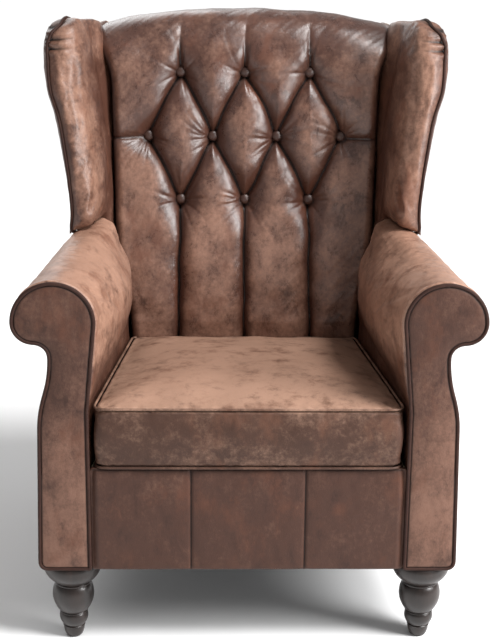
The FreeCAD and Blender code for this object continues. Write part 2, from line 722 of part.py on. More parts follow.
bolts = [cylinder(f"{side}_bolt", x, y, f"{leg_top} - dim.bolt_in_leg", "dim.bolt_radius",
                  "dim.bolt_in_leg + dim.bolt_in_block") for side, x, y in leg_places]
keep(both_sides("leg_bolts", bolts))

glides = [cylinder("left_front_glide", "dim.leg_half_spread", "dim.leg_setback", "0",
                   "dim.glide_radius", "dim.glide_height"),
          cylinder("left_rear_glide", "dim.rear_leg_half_spread",
                   "dim.rear_leg_setback + dim.rear_leg_rake", "0", "dim.glide_radius",
                   "dim.glide_height")]
keep(both_sides("leg_glides", glides))


def leg_block(side, x, y, inner_x, outer_x, y_low, y_high):
    blank = box(f"{side}_block_blank", inner_x, y_low, BOTTOM,
                f"({outer_x}) - ({inner_x})", f"({y_high}) - ({y_low})", "dim.block_height")
    bore = cylinder(f"{side}_block_bore", x, y, BOTTOM, "dim.bolt_radius + dim.bolt_clearance",
                    "dim.bolt_in_block + 1")
    return cut(f"{side}_block", blank, bore)


block_back = f"({BOARD_BACK} + dim.block_length)"
front_block = leg_block("left_front", *leg_places[0][1:], f"({INNER_SIDE} + dim.board_margin)",
                        f"({rail_outer_at(block_back)} - dim.rail_thickness)", BOARD_BACK, block_back)
rear_outer = f"({REAR_SIDE} - dim.post_inset - dim.rail_thickness)"
rear_block = leg_block("left_rear", *leg_places[1][1:], f"{rear_outer} - dim.block_width", rear_outer,
                       f"{post_foot} - dim.block_length", post_foot)
keep(both_sides("corner_blocks", [front_block, rear_block]))


# ---- seat springs, deck and front border ----

spring_start = "(dim.front_rail_setback + dim.rail_thickness / 2)"
spring_end = f"({post_foot} + dim.rail_thickness / 2)"
wire_z = f"({RAIL_TOP} + dim.wire_radius + dim.rest_gap / 2)"


def zigzag_spring(number):
    """A wire that runs from side to side, with a round bend at the end of each run."""
    label = f"seat_spring_{number}"
    body = new_body(label)
    place(body, f"dim.spring_pitch * {number - 3}", spring_start, "0")
    pitch = f"(({spring_end} - {spring_start}) / dim.spring_bends)"
    reach = "dim.spring_reach"
    far_side = f"{reach} + {pitch} / 2"
    radius = f"{pitch} / 2"
    path = draw(new_sketch(body, label + "_path", "XY_Plane", wire_z), [
        (f"-{reach}", "0"),
        (reach, "0"),
        (far_side, radius, radius, 1),
        (reach, pitch, radius, 1),
        (f"-{reach}", pitch),
        (f"-({far_side})", f"1.5 * {pitch}", radius, -1),
        (f"-{reach}", f"2 * {pitch}", radius, -1),
    ], closed=False)
    profile = new_sketch(body, label + "_wire", "YZ_Plane", f"-{reach}")
    draw_circle(profile, "0", wire_z, "dim.wire_radius")
    bends = body.newObject("PartDesign::AdditivePipe", label + "_bends")
    bends.Profile = profile
    bends.Spine = (path, [])
    repeat = body.newObject("PartDesign::LinearPattern", label + "_repeat")
    repeat.Originals = [bends]
    along = next(item for item in body.Origin.OriginFeatures if item.Role == "Y_Axis")
    repeat.Direction = (along, [""])
    repeat.setExpression("Length", f"{pitch} * (dim.spring_bends - 2)")
    repeat.setExpression("Occurrences", "dim.spring_bends / 2")
    body.Tip = repeat
    end_profile = new_sketch(body, label + "_end", "YZ_Plane", f"-{reach}")
    draw_circle(end_profile, f"{pitch} * dim.spring_bends", wire_z, "dim.wire_radius")
    end_run = body.newObject("PartDesign::Pad", label + "_end_run")
    end_run.Profile = end_profile
    end_run.setExpression("Length", f"2 * {reach}")
    body.Tip = end_run
    return body


springs = [zigzag_spring(number) for number in range(1, 6)]
keep(group("seat_springs", springs))


def spring_clip(name, number, y):
    """A clip over the end run of a spring, with a channel that the wire lies in."""
    wire_x = f"dim.spring_pitch * {number - 3}"
    height = "(2 * dim.wire_radius + dim.rest_gap / 2 + dim.clip_wall)"
    blank = box(f"{name}_blank", f"{wire_x} - dim.clip_width / 2", f"{y} - dim.clip_length / 2", RAIL_TOP,
                "dim.clip_width", "dim.clip_length", height)
    reach = "(dim.wire_radius + dim.rest_gap / 2)"
    channel = cylinder(f"{name}_channel", f"{wire_x} - dim.clip_width / 2 - 1", y, wire_z,
                       reach, "dim.clip_width + 2", (0, 1, 0), "90")
    mouth = box(f"{name}_mouth", f"{wire_x} - dim.clip_width / 2 - 1", f"{y} - {reach}",
                f"{RAIL_TOP} - 1", "dim.clip_width + 2", f"2 * {reach}", f"{wire_z} - {RAIL_TOP} + 1")
    return cut(name, blank, channel, mouth)


clips = []
for number in range(1, 6):
    clips.append(spring_clip(f"front_clip_{number}", number, spring_start))
    clips.append(spring_clip(f"rear_clip_{number}", number, spring_end))
keep(group("spring_clips", clips))

clip_top = f"({RAIL_TOP} + 2 * dim.wire_radius + dim.rest_gap / 2 + dim.clip_wall)"


def deck_layer(label, low_front, low_rear, high_front, high_rear, front, rear):
    """A wedge across the seat between the arms, lower at the rear."""
    half_front = f"{inner_side_at(front)} - dim.deck_side_gap"
    half_rear = f"{inner_side_at(rear)} - dim.deck_side_gap"
    return loft(label, "XZ_Plane", [
        (f"-({front})", rectangle(f"-({half_front})", half_front, low_front, high_front)),
        (f"-({rear})", rectangle(f"-({half_rear})", half_rear, low_rear, high_rear)),
    ])


deck_start = "dim.front_rail_setback"
deck_end = "(dim.back_front - dim.deck_side_gap)"
deck_cover_top_front = f"(dim.deck_front - {deck_start} * tan(dim.deck_slope * 1deg))"
deck_cover_top_rear = f"(dim.deck_front - {deck_end} * tan(dim.deck_slope * 1deg))"
hessian_top = f"({clip_top} + dim.hessian)"

keep(deck_layer("spring_cover", clip_top, clip_top, hessian_top, hessian_top, deck_start, deck_end))
keep(deck_layer("deck_pad", hessian_top, hessian_top, f"{deck_cover_top_front} - dim.leather",
                f"{deck_cover_top_rear} - dim.leather", deck_start, deck_end))
keep(deck_layer("deck_cover", f"{deck_cover_top_front} - dim.leather",
                f"{deck_cover_top_rear} - dim.leather", deck_cover_top_front, deck_cover_top_rear,
                deck_start, deck_end))

border_half = f"({inner_side_at('dim.front_rail_setback')} - dim.deck_side_gap)"
border_top = "(dim.deck_front - dim.front_rail_setback * tan(dim.deck_slope * 1deg))"
border_pad_front = "(dim.border_setback + dim.leather)"
keep(box("front_border_pad", f"-{border_half}", border_pad_front, BOTTOM, f"2 * {border_half}",
         f"dim.front_rail_setback - {border_pad_front}", f"{border_top} - {BOTTOM}"))


def border_panel(number, left, right):
    return box(f"front_border_panel_{number}", left, "dim.border_setback", BOTTOM,
               f"({right}) - ({left})", "dim.leather", f"{border_top} - {BOTTOM}")


seams = [f"-{border_half}", "-dim.border_seam", "dim.border_seam", border_half]
keep(group("front_border_cover", [
    border_panel(number, f"{left} + dim.seam_gap / 2", f"{right} - dim.seam_gap / 2")
    for number, (left, right) in enumerate(zip(seams, seams[1:]), start=1)]))


# ---- inside back, buttons and twine ----

# The axis of each button points into the back, square to its leaning face.
face_lean = f"atan({FACE_SLOPE})"
into_back = f"-90deg - {face_lean}"

button_spots = []
for row in range(3):
    columns = (-1.5, -0.5, 0.5, 1.5) if row == 1 else (-1, 0, 1)
    height = f"(dim.overall_height - dim.tuft_top_drop - {row} * dim.tuft_row)"
    button_spots += [(f"{column} * dim.tuft_spacing", height) for column in columns]


def tuft_well(name, x, height, grow):
    """A tapered well for a button, measured from just in front of the face."""
    well = doc.addObject("Part::Cone", name)
    well.Label = name
    well.setExpression("Radius1", f"dim.tuft_mouth + ({grow})")
    well.setExpression("Radius2", f"dim.button_radius + 1 + ({grow})")
    well.setExpression("Height", f"dim.tuft_depth + ({grow})")
    place(well, x, back_face_at(height), height, (1, 0, 0), into_back)
    return well


def drilled(name, base, drills):
    return cut(name, base, group(name + "_drills", drills))


outer_wells = [tuft_well(f"outer_well_{n}", x, z, "0") for n, (x, z) in enumerate(button_spots)]
inner_wells = [tuft_well(f"inner_well_{n}", x, z, "dim.leather") for n, (x, z) in enumerate(button_spots)]
tufted_outer = drilled("tufted_outer", back_outer, outer_wells)
tufted_inner = drilled("tufted_inner", back_inner, inner_wells)


def on_button_axis(height, depth):
    """The place at a depth behind the face along the button's axis, as y and z."""
    return (f"{back_face_at(height)} + ({depth}) * cos({face_lean})",
            f"{height} - ({depth}) * sin({face_lean})")


buttons = []
strings = []
for number, (x, height) in enumerate(button_spots):
    y, z = on_button_axis(height, "dim.tuft_depth - dim.button_thickness")
    disc = cylinder(f"button_disc_{number}", x, y, z, "dim.button_radius", "dim.button_thickness",
                    (1, 0, 0), into_back)
    buttons.append(disc)
    y, z = on_button_axis(height, "dim.tuft_depth")
    length = f"(({post_front_at(height)} - dim.webbing - ({y})) / cos({face_lean}) - dim.twine_end)"
    strings.append(cylinder(f"button_string_{number}", x, y, z, "dim.twine_radius", length,
                            (1, 0, 0), into_back))
keep(group("tuft_buttons", buttons))
twine = keep(group("button_twine", strings))

back_core = combine("Common", "back_core", tufted_outer, tufted_inner)
keep(cut("back_pad", back_core, crest_rail, left_post, nodes["right_back_post"], twine))
keep(cut("back_cover", tufted_outer, tufted_inner, twine, crest_rail, left_post,
         nodes["right_back_post"]))


# ---- arms ----

arm_outer = arm_solid("arm_outer", "0", "0", COVER_FRONT, "dim.arm_reach")
arm_inner = arm_solid("arm_inner", "dim.leather", "dim.panel", COVER_FRONT, "dim.arm_reach")
arm_core = combine("Common", "arm_core", arm_outer, arm_inner)
wing_outer = wing_solid("wing_outer", "0")
wing_inner = wing_solid("wing_inner", "dim.leather")

left_pieces_in_arm = [side_panel, front_rail, left_wing_board]
keep_pair(cut("left_arm_cover", combine("Cut", "arm_shell", arm_outer, arm_inner), *left_pieces_in_arm))
keep_pair(cut("left_arm_pad", arm_core, *left_pieces_in_arm, scroll_board, left_side_rail, left_arm_rail,
              front_block.Base))

keep_pair(pad("left_arm_facing", "XZ_Plane", front_arm_outline(), "dim.facing_board", "-dim.facing_board"))


def facing_piping(label):
    """A welt behind the facing's edge, from the seat side over the scroll and down outside."""
    body = new_body(label)
    depth = "(dim.facing_board + dim.piping_radius)"
    points = front_arm_outline("dim.piping_radius")[:10]
    path = draw(new_sketch(body, label + "_path", "XZ_Plane", f"-{depth}"), points, closed=False)
    profile = new_sketch(body, label + "_cord", "XY_Plane", BOTTOM)
    draw_circle(profile, points[0][0], depth, "dim.piping_radius")
    welt = body.newObject("PartDesign::AdditivePipe", label + "_sweep")
    welt.Profile = profile
    welt.Spine = (path, [])
    return body


keep_pair(facing_piping("left_facing_piping"))


# ---- wings ----

def wing_piping(label):
    """A welt up the wing's outer front edge, round in plan."""
    body = new_body(label)
    edge = "(dim.nose_radius * (1 - sqrt(0.5)))"
    stations = [("dim.arm_height", "dim.wing_inset_waist + (dim.wing_inset_base - dim.wing_inset_waist)"
                 " * (dim.wing_waist - dim.arm_height) / (dim.wing_waist - dim.wing_base)",
                 "dim.wing_sweep_waist * (dim.arm_height - dim.wing_base)"
                 " / (dim.wing_waist - dim.wing_base)"),
                ("dim.wing_waist", "dim.wing_inset_waist", "dim.wing_sweep_waist"),
                ("dim.wing_high", "dim.wing_inset_high", "dim.wing_sweep_high")]
    rings = []
    for number, (height, inset, sweep) in enumerate(stations):
        ring = new_sketch(body, f"{label}_ring_{number}", "XY_Plane", height)
        draw_circle(ring, f"{SIDE} - ({inset}) - {edge}", f"dim.wing_front + {sweep} + {edge}",
                    "dim.piping_radius")
        rings.append(ring)
    welt = body.newObject("PartDesign::AdditiveLoft", label + "_loft")
    welt.Profile = rings[0]
    welt.Sections = rings[1:]
    welt.Ruled = True
    return body


left_wing_welt = keep_pair(wing_piping("left_wing_piping"))
wing_neighbours = [arm_outer, back_outer, side_panel, left_wing_welt, left_post, crest_rail,
                   nodes["back_webbing"], left_arm_rail, left_wing_board]
wing_core = combine("Common", "wing_core", wing_outer, wing_inner)
keep_pair(cut("left_wing_pad", wing_core, *wing_neighbours))
wing_shell = cut("wing_shell", combine("Cut", "wing_skin", wing_outer, wing_inner), *wing_neighbours)


def outer_wedge(label):
    """The space outside the wing's welt, which parts its outside panel from its cover."""
    def section(inset_name, sweep, height):
        outer = f"({SIDE} - {inset_name})"
        edge = "(dim.nose_radius * (1 - sqrt(0.5)))"
        rear = outside_back_at(height)
        return [(f"{outer} - {edge}", f"dim.wing_front + {sweep} + {edge}"),
                (f"{outer} + dim.nose_radius", f"dim.wing_front + {sweep}"),
                (f"{REAR_SIDE} + 3 * dim.nose_radius", rear),
                (f"{REAR_SIDE} - dim.nose_radius / 2", rear)]
    return loft(label, "XY_Plane", [
        ("dim.wing_base", section("dim.wing_inset_base", "0", "dim.wing_base")),
        ("dim.wing_waist", section("dim.wing_inset_waist", "dim.wing_sweep_waist", "dim.wing_waist")),
        ("dim.wing_high", section("dim.wing_inset_high", "dim.wing_sweep_high", "dim.wing_high")),
        ("dim.overall_height", section("dim.wing_inset_top", "dim.wing_sweep_top", "dim.overall_height")),
    ])


wedge = outer_wedge("outside_of_wing")
keep_pair(combine("Common", "left_outside_wing_panel", wing_shell, wedge))
keep_pair(combine("Cut", "left_wing_cover", wing_shell, wedge))

keep(pad("outside_back_panel", "YZ_Plane", [
    (f"{outside_back_at('dim.floor_clearance')} - dim.panel", BOTTOM),
    (outside_back_at("dim.floor_clearance"), BOTTOM),
    (outside_back_at(POST_TOP), POST_TOP),
    (f"{outside_back_at(POST_TOP)} - dim.panel", POST_TOP),
], "dim.back_width", "-dim.back_width / 2"))


def dust_cover():
    """A thin cloth under the seat frame, open round the legs."""
    under = "(dim.floor_clearance - dim.leather / 2)"
    front = "dim.front_rail_setback"
    rear = f"({outside_back_at('dim.floor_clearance')} - dim.panel)"
    cloth = pad("dust_cloth", "XY_Plane", [
        (f"-({base_side_at(front)} - dim.board_margin)", front),
        (f"{base_side_at(front)} - dim.board_margin", front),
        (f"{base_side_at(rear)} - dim.board_margin", rear),
        (f"-({base_side_at(rear)} - dim.board_margin)", rear),
    ], "dim.leather / 2", under)
    round_leg = cylinder("left_round_opening", *leg_places[0][1:], f"{under} - 1",
                         "dim.leg_cup + dim.cloth_clearance", "dim.leather")
    square = "(dim.rear_leg_top + 2 * dim.cloth_clearance)"
    square_leg = box("left_square_opening", f"dim.rear_leg_half_spread - {square} / 2",
                     f"dim.rear_leg_setback - {square} / 2", f"{under} - 1", square, square, "dim.leather")
    return cut("dust_cover", cloth, both_sides("leg_openings", [round_leg, square_leg]))


keep(dust_cover())


# ---- loose seat cushion, drawn flat from its front bottom edge and tilted onto the deck ----

cushion_z = "(dim.deck_front - dim.cushion_setback * tan(dim.deck_slope * 1deg) + dim.rest_gap)"


def lay_on_deck(item, extra="0deg"):
    item.Placement = FreeCAD.Placement(item.Placement.Base, FreeCAD.Rotation(FreeCAD.Vector(1, 0, 0), -1))
    item.setExpression("Placement.Base.y", f"{FRONT} + dim.cushion_setback")
    item.setExpression("Placement.Base.z", cushion_z)
    item.setExpression("Placement.Rotation.Angle", f"-dim.deck_slope * 1deg - ({extra})")
    return item


def cushion_section(half, side, crown, inset):
    rise = f"({crown} - ({inset}) / 2)"
    width = f"({half} - ({inset}))"
    bow = f"(({width} ^ 2 + {rise} ^ 2) / (2 * {rise}))"
    return [(f"-{width}", inset), (width, inset), (width, f"{side} - ({inset})"),
            (f"-{width}", f"{side} - ({inset})", bow, 1)]


def cushion_solid(label, inset):
    middle_half = "((dim.cushion_half_front + dim.cushion_half_rear) / 2)"
    middle_side = "((dim.cushion_side + dim.cushion_side_rear) / 2)"
    return lay_on_deck(loft(label, "XZ_Plane", [
        (f"-({inset})", cushion_section("dim.cushion_half_front", "dim.cushion_side",
                                        "dim.cushion_crown", inset)),
        ("-dim.cushion_depth / 2", cushion_section(middle_half, middle_side,
                                                   "dim.cushion_crown_mid", inset)),
        (f"-dim.cushion_depth + ({inset})", cushion_section("dim.cushion_half_rear",
                                                            "dim.cushion_side_rear",
                                                            "dim.cushion_crown", inset)),
    ]))


cushion_foam = keep(cushion_solid("cushion_foam", "dim.leather"))
keep(combine("Cut", "cushion_cover", cushion_solid("cushion_outer", "0"), cushion_foam))


def cushion_welt(label, height, slope):
    """A closed welt round the cushion, its front corners and rear corners rounded."""
    body = new_body(label)
    out = "dim.cushion_piping"
    front, rear = f"(dim.cushion_half_front + {out})", f"(dim.cushion_half_rear + {out})"
    corner = "dim.cushion_corner"
    shift = f"({height}) * sin({slope})"
    low, high = f"(-{out} - {shift})", f"(dim.cushion_depth + {out} - {shift})"
    points = [("0", low), (f"{front} - {corner}", low), (front, f"{low} + {corner}", corner, 1),
              (rear, f"{high} - {corner}"), (f"{rear} - {corner}", high, corner, 1),
              (f"-{rear} + {corner}", high), (f"-{rear}", f"{high} - {corner}", corner, 1),
              (f"-{front}", f"{low} + {corner}"), (f"-{front} + {corner}", low, corner, 1)]
    path = draw(new_sketch(body, label + "_path", "XY_Plane", height), points)
    profile = new_sketch(body, label + "_cord", "YZ_Plane")
    draw_circle(profile, low, height, out)
    welt = body.newObject("PartDesign::AdditivePipe", label + "_sweep")
    welt.Profile = profile
    welt.Spine = (path, [])
    return lay_on_deck(body, slope)


top_slope = "atan((dim.cushion_side - dim.cushion_side_rear) / dim.cushion_depth)"
lower_welt = cushion_welt("lower_welt", "dim.cushion_piping", "0deg")
upper_welt = cushion_welt("upper_welt", "dim.cushion_side - dim.cushion_piping", top_slope)
keep(group("cushion_piping", [lower_welt, upper_welt]))

zip_z = "(dim.cushion_side_rear / 2)"


def on_rear_face(label, left, gap, low, width, depth, height):
    """A box on the cushion's rear face, tilted with it about the same front edge."""
    item = doc.addObject("Part::Box", label)
    item.Label = label
    item.setExpression("Length", width)
    item.setExpression("Width", depth)
    item.setExpression("Height", height)
    item.Placement = FreeCAD.Placement(FreeCAD.Vector(), FreeCAD.Rotation(FreeCAD.Vector(1, 0, 0), -1))
    reach = f"(dim.cushion_depth + {gap})"
    item.setExpression("Placement.Base.x", left)
    along, across = "cos(dim.deck_slope * 1deg)", "sin(dim.deck_slope * 1deg)"
    item.setExpression("Placement.Base.y", f"{FRONT} + dim.cushion_setback + {reach} * {along}"
                       f" + ({low}) * {across}")
    item.setExpression("Placement.Base.z", f"{cushion_z} - {reach} * {across} + ({low}) * {along}")
    item.setExpression("Placement.Rotation.Angle", "-dim.deck_slope * 1deg")
    return item


keep(on_rear_face("cushion_zip_tape", "-dim.zip_length / 2", "0", f"{zip_z} - dim.zip_width / 2",
                  "dim.zip_length", "dim.zip_tape", "dim.zip_width"))
keep(on_rear_face("zip_slider", "-dim.zip_length / 2", "(dim.zip_tape + dim.rest_gap)",
                  f"{zip_z} - dim.slider_width / 2", "dim.slider_length", "dim.slider_thickness",
                  "dim.slider_width"))


# ---- check and write ----

doc.recompute()
for item in doc.Objects:
    if "Invalid" in item.State or "Error" in item.State:
        raise RuntimeError(f"{item.Label} did not recompute: {item.State}")
for name, item in nodes.items():
    if item.Shape.isNull() or not item.Shape.isValid() or not item.Shape.Solids:
        raise RuntimeError(f"{name} has no valid solid")

os.makedirs("parts", exist_ok=True)
for name, item in nodes.items():
    item.Shape.exportStep(os.path.join("parts", name + ".step"))
    print(f"{name}: {len(item.Shape.Solids)} solid(s), {item.Shape.Volume / 1000:.1f} cm3")
print(len(nodes), "sub-parts written")
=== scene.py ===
import bpy
import bmesh
import json
import math
import numpy as np
from mathutils import Matrix, Vector
from mathutils.bvhtree import BVHTree


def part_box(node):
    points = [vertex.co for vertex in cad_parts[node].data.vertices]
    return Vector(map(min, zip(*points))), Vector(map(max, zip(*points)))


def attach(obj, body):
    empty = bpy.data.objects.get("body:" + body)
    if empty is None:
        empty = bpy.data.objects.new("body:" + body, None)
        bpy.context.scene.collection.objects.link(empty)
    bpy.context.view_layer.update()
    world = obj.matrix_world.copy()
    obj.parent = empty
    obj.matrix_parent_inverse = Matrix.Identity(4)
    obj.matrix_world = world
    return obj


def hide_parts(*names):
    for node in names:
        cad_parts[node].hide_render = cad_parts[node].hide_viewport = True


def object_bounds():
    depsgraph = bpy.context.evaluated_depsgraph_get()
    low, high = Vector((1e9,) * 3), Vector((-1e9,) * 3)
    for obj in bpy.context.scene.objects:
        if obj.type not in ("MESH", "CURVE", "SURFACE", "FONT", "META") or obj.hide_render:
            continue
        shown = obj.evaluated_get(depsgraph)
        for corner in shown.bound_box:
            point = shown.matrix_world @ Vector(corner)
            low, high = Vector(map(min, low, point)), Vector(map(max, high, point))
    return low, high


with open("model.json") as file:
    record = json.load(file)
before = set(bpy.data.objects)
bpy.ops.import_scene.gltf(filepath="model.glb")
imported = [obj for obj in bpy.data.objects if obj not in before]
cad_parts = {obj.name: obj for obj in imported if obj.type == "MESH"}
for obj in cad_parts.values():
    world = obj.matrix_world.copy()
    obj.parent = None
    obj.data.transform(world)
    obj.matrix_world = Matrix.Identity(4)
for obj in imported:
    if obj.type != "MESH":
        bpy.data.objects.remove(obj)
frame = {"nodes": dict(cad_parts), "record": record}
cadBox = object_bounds()
nodes = frame["nodes"]
print("frame loaded")

chairLow, chairHigh = cadBox
faceY = chairLow.y    # front of the arm facings, where depth is measured from


# camera, lights and floor

view = {
    "place": (-0.0635, -3.0706, 1.524), "lens": 89.45,
    "down": 0.3215, "turn": 0.0238, "roll": 0.0104,    # radians
}


def makeCamera():
    forward = Vector((math.sin(view["turn"]) * math.cos(view["down"]),
                      math.cos(view["turn"]) * math.cos(view["down"]), -math.sin(view["down"])))
    level = Vector((math.cos(view["turn"]), -math.sin(view["turn"]), 0))
    upright = level.cross(forward)
    right = level * math.cos(view["roll"]) + upright * math.sin(view["roll"])
    up = upright * math.cos(view["roll"]) - level * math.sin(view["roll"])
    lens = bpy.data.cameras.new("camera")
    lens.lens = view["lens"]
    lens.sensor_width = 36
    camera = bpy.data.objects.new("camera", lens)
    bpy.context.scene.collection.objects.link(camera)
    turned = Matrix((right, up, -forward)).transposed().to_4x4()
    camera.matrix_world = Matrix.Translation(view["place"]) @ turned
    bpy.context.scene.camera = camera


lights = {
    "sun": {"from": (0.72, -0.42, 1.3), "angle": 20, "strength": 2.9},
    "side": {"place": (2.1, -1.2, 1.5), "aim": (0, 0, 0.75), "size": 1.1, "power": 68},
    "rear": {"place": (-0.9, 2.6, 2.4), "aim": (0, 0, 0.7), "size": 2.2, "power": 30},
    "sky": 0.38, "floorSize": 80,
}


def makeLight(name):
    lamp = bpy.data.lights.new(name, "AREA")
    lamp.shape = "DISK"
    lamp.size = lights[name]["size"]
    lamp.energy = lights[name]["power"]
    light = bpy.data.objects.new(name, lamp)
    bpy.context.scene.collection.objects.link(light)
    light.location = lights[name]["place"]
    aim = Vector(lights[name]["aim"]) - light.location
    light.rotation_euler = aim.to_track_quat("-Z", "Y").to_euler()


def makeSun():
    lamp = bpy.data.lights.new("sun", "SUN")
    lamp.energy = lights["sun"]["strength"]
    lamp.angle = math.radians(lights["sun"]["angle"])
    sun = bpy.data.objects.new("sun", lamp)
    bpy.context.scene.collection.objects.link(sun)
    sun.rotation_euler = Vector(lights["sun"]["from"]).to_track_quat("Z", "Y").to_euler()


def makeStudio():
    makeCamera()
    makeSun()
    makeLight("side")
    makeLight("rear")
    sky = bpy.data.worlds.new("studio")
    sky.use_nodes = True
    sky.node_tree.nodes["Background"].inputs["Color"].default_value = (1, 1, 1, 1)
    sky.node_tree.nodes["Background"].inputs["Strength"].default_value = lights["sky"]
    bpy.context.scene.world = sky
    bpy.context.scene.view_settings.view_transform = "Standard"
    bpy.ops.object.select_all(action="DESELECT")
    bpy.ops.mesh.primitive_plane_add(size=lights["floorSize"], location=(0, 0, 0))
    floor = bpy.context.object
    floor.name = "floor"
    plain = bpy.data.materials.new("paleFloor")
    plain.use_nodes = True
    plain.node_tree.nodes["Principled BSDF"].inputs["Base Color"].default_value = (0.93, 0.93, 0.93, 1)
    plain.node_tree.nodes["Principled BSDF"].inputs["Roughness"].default_value = 0.8
    floor.data.materials.append(plain)


makeStudio()
print("studio ready")


# materials

# A socket of a material's node tree. Sums on sockets add Math nodes, other nodes come from node().
class Link:
    def __init__(self, tree, socket=None):
        self.tree = tree
        self.socket = socket

    def node(self, kind, settings, sockets, out=0):
        new = self.tree.nodes.new("ShaderNode" + kind)
        for name, setting in settings.items():
            if name == "stops":
                marks = new.color_ramp.elements
                while len(marks) < len(setting):
                    marks.new(0.5)
                for mark, (spot, colour) in zip(marks, setting):
                    mark.position = spot
                    mark.color = (*colour, 1)
            else:
                setattr(new, name, setting)
        for name, given in sockets.items():
            if isinstance(given, Link):
                self.tree.links.new(given.socket, new.inputs[name])
            else:
                new.inputs[name].default_value = given
        return Link(self.tree, new.outputs[out])

    def maths(self, operation, first, second):
        return self.node("Math", {"operation": operation}, {0: first, 1: second})

    def __add__(self, other):
        return self.maths("ADD", self, other)

    def __radd__(self, other):
        return self.maths("ADD", other, self)

    def __sub__(self, other):
        return self.maths("SUBTRACT", self, other)

    def __rsub__(self, other):
        return self.maths("SUBTRACT", other, self)

    def __mul__(self, other):
        return self.maths("MULTIPLY", self, other)

    def __rmul__(self, other):
        return self.maths("MULTIPLY", other, self)

    def between(self, low, high):
        # 0 below low, 1 above high, with an easy step between
        settings = {"interpolation_type": "SMOOTHSTEP"}
        return self.node("MapRange", settings, {"Value": self, "From Min": low, "From Max": high})

    def blend(self, first, second):
        # this mask takes the colour from first to second
        return self.node("Mix", {"data_type": "RGBA"}, {0: self, 6: first, 7: second}, out=2)


def newFinish(name):
    finish = bpy.data.materials.new(name)
    finish.use_nodes = True
    return finish, Link(finish.node_tree), finish.node_tree.nodes["Principled BSDF"]


def connect(link, shader, socket):
    link.tree.links.new(link.socket, shader.inputs[socket])


def cloud(build, place, scale, detail=5, rough=0.6, twist=0.0):
    sockets = {"Vector": place, "Scale": scale, "Detail": detail, "Roughness": rough, "Distortion": twist}
    return build.node("TexNoise", {}, sockets)


def stretched(build, place, scale, shift=(0, 0, 0)):
    return build.node("Mapping", {}, {"Vector": place, "Scale": scale, "Location": shift})


# Each hide: its colours (linear), how shiny it is, and the size of its clouds and streaks. Its darkest
# colour is the painted shade that fills creases and recesses.
hides = {
    "wornLeather": {
        "base": (0.082, 0.033, 0.021), "pale": (0.38, 0.212, 0.147), "rust": (0.150, 0.056, 0.031),
        "dark": (0.026, 0.011, 0.008), "creaseShade": (0.006, 0.003, 0.002),
        "rough": 0.38, "coat": 0.12, "shine": 0.4, "cloud": 9.0, "streak": (30, 17, 26), "pores": 620,
    },
    "backLeather": {
        "base": (0.070, 0.027, 0.017), "pale": (0.33, 0.180, 0.125), "rust": (0.130, 0.047, 0.026),
        "dark": (0.024, 0.010, 0.007), "creaseShade": (0.005, 0.002, 0.002),
        "rough": 0.28, "coat": 0.42, "shine": 0.5, "cloud": 8.0, "streak": (28, 28, 20), "pores": 620,
    },
    "cushionLeather": {
        "base": (0.062, 0.029, 0.019), "pale": (0.365, 0.215, 0.150), "rust": (0.120, 0.052, 0.031),
        "dark": (0.046, 0.021, 0.014), "creaseShade": (0.010, 0.005, 0.003),
        "rough": 0.52, "coat": 0.0, "shine": 0.28, "cloud": 9.5, "streak": (26, 32, 30), "pores": 620,
    },
    # a darker copy of the worn leather for the upright front faces, the border and the arm facings: its
    # darkness is painted shade
    "shadedFrontLeather": {
        "base": (0.062, 0.027, 0.018), "pale": (0.20, 0.104, 0.072), "rust": (0.105, 0.040, 0.023),
        "dark": (0.026, 0.012, 0.009), "creaseShade": (0.010, 0.005, 0.004),
        "rough": 0.50, "coat": 0.0, "shine": 0.26, "cloud": 9.0, "streak": (26, 26, 14), "pores": 620,
    },
    "pipingLeather": {
        "base": (0.034, 0.014, 0.010), "pale": (0.090, 0.044, 0.030), "rust": (0.052, 0.021, 0.013),
        "dark": (0.016, 0.007, 0.005), "creaseShade": (0.008, 0.004, 0.003),
        "rough": 0.58, "coat": 0.0, "shine": 0.2, "cloud": 16, "streak": (40, 40, 40), "pores": 700,
    },
    "buttonLeather": {
        "base": (0.045, 0.018, 0.012), "pale": (0.150, 0.078, 0.052), "rust": (0.070, 0.027, 0.016),
        "dark": (0.018, 0.008, 0.006), "creaseShade": (0.006, 0.003, 0.002),
        "rough": 0.34, "coat": 0.2, "shine": 0.45, "cloud": 20, "streak": (60, 60, 60), "pores": 900,
    },
}


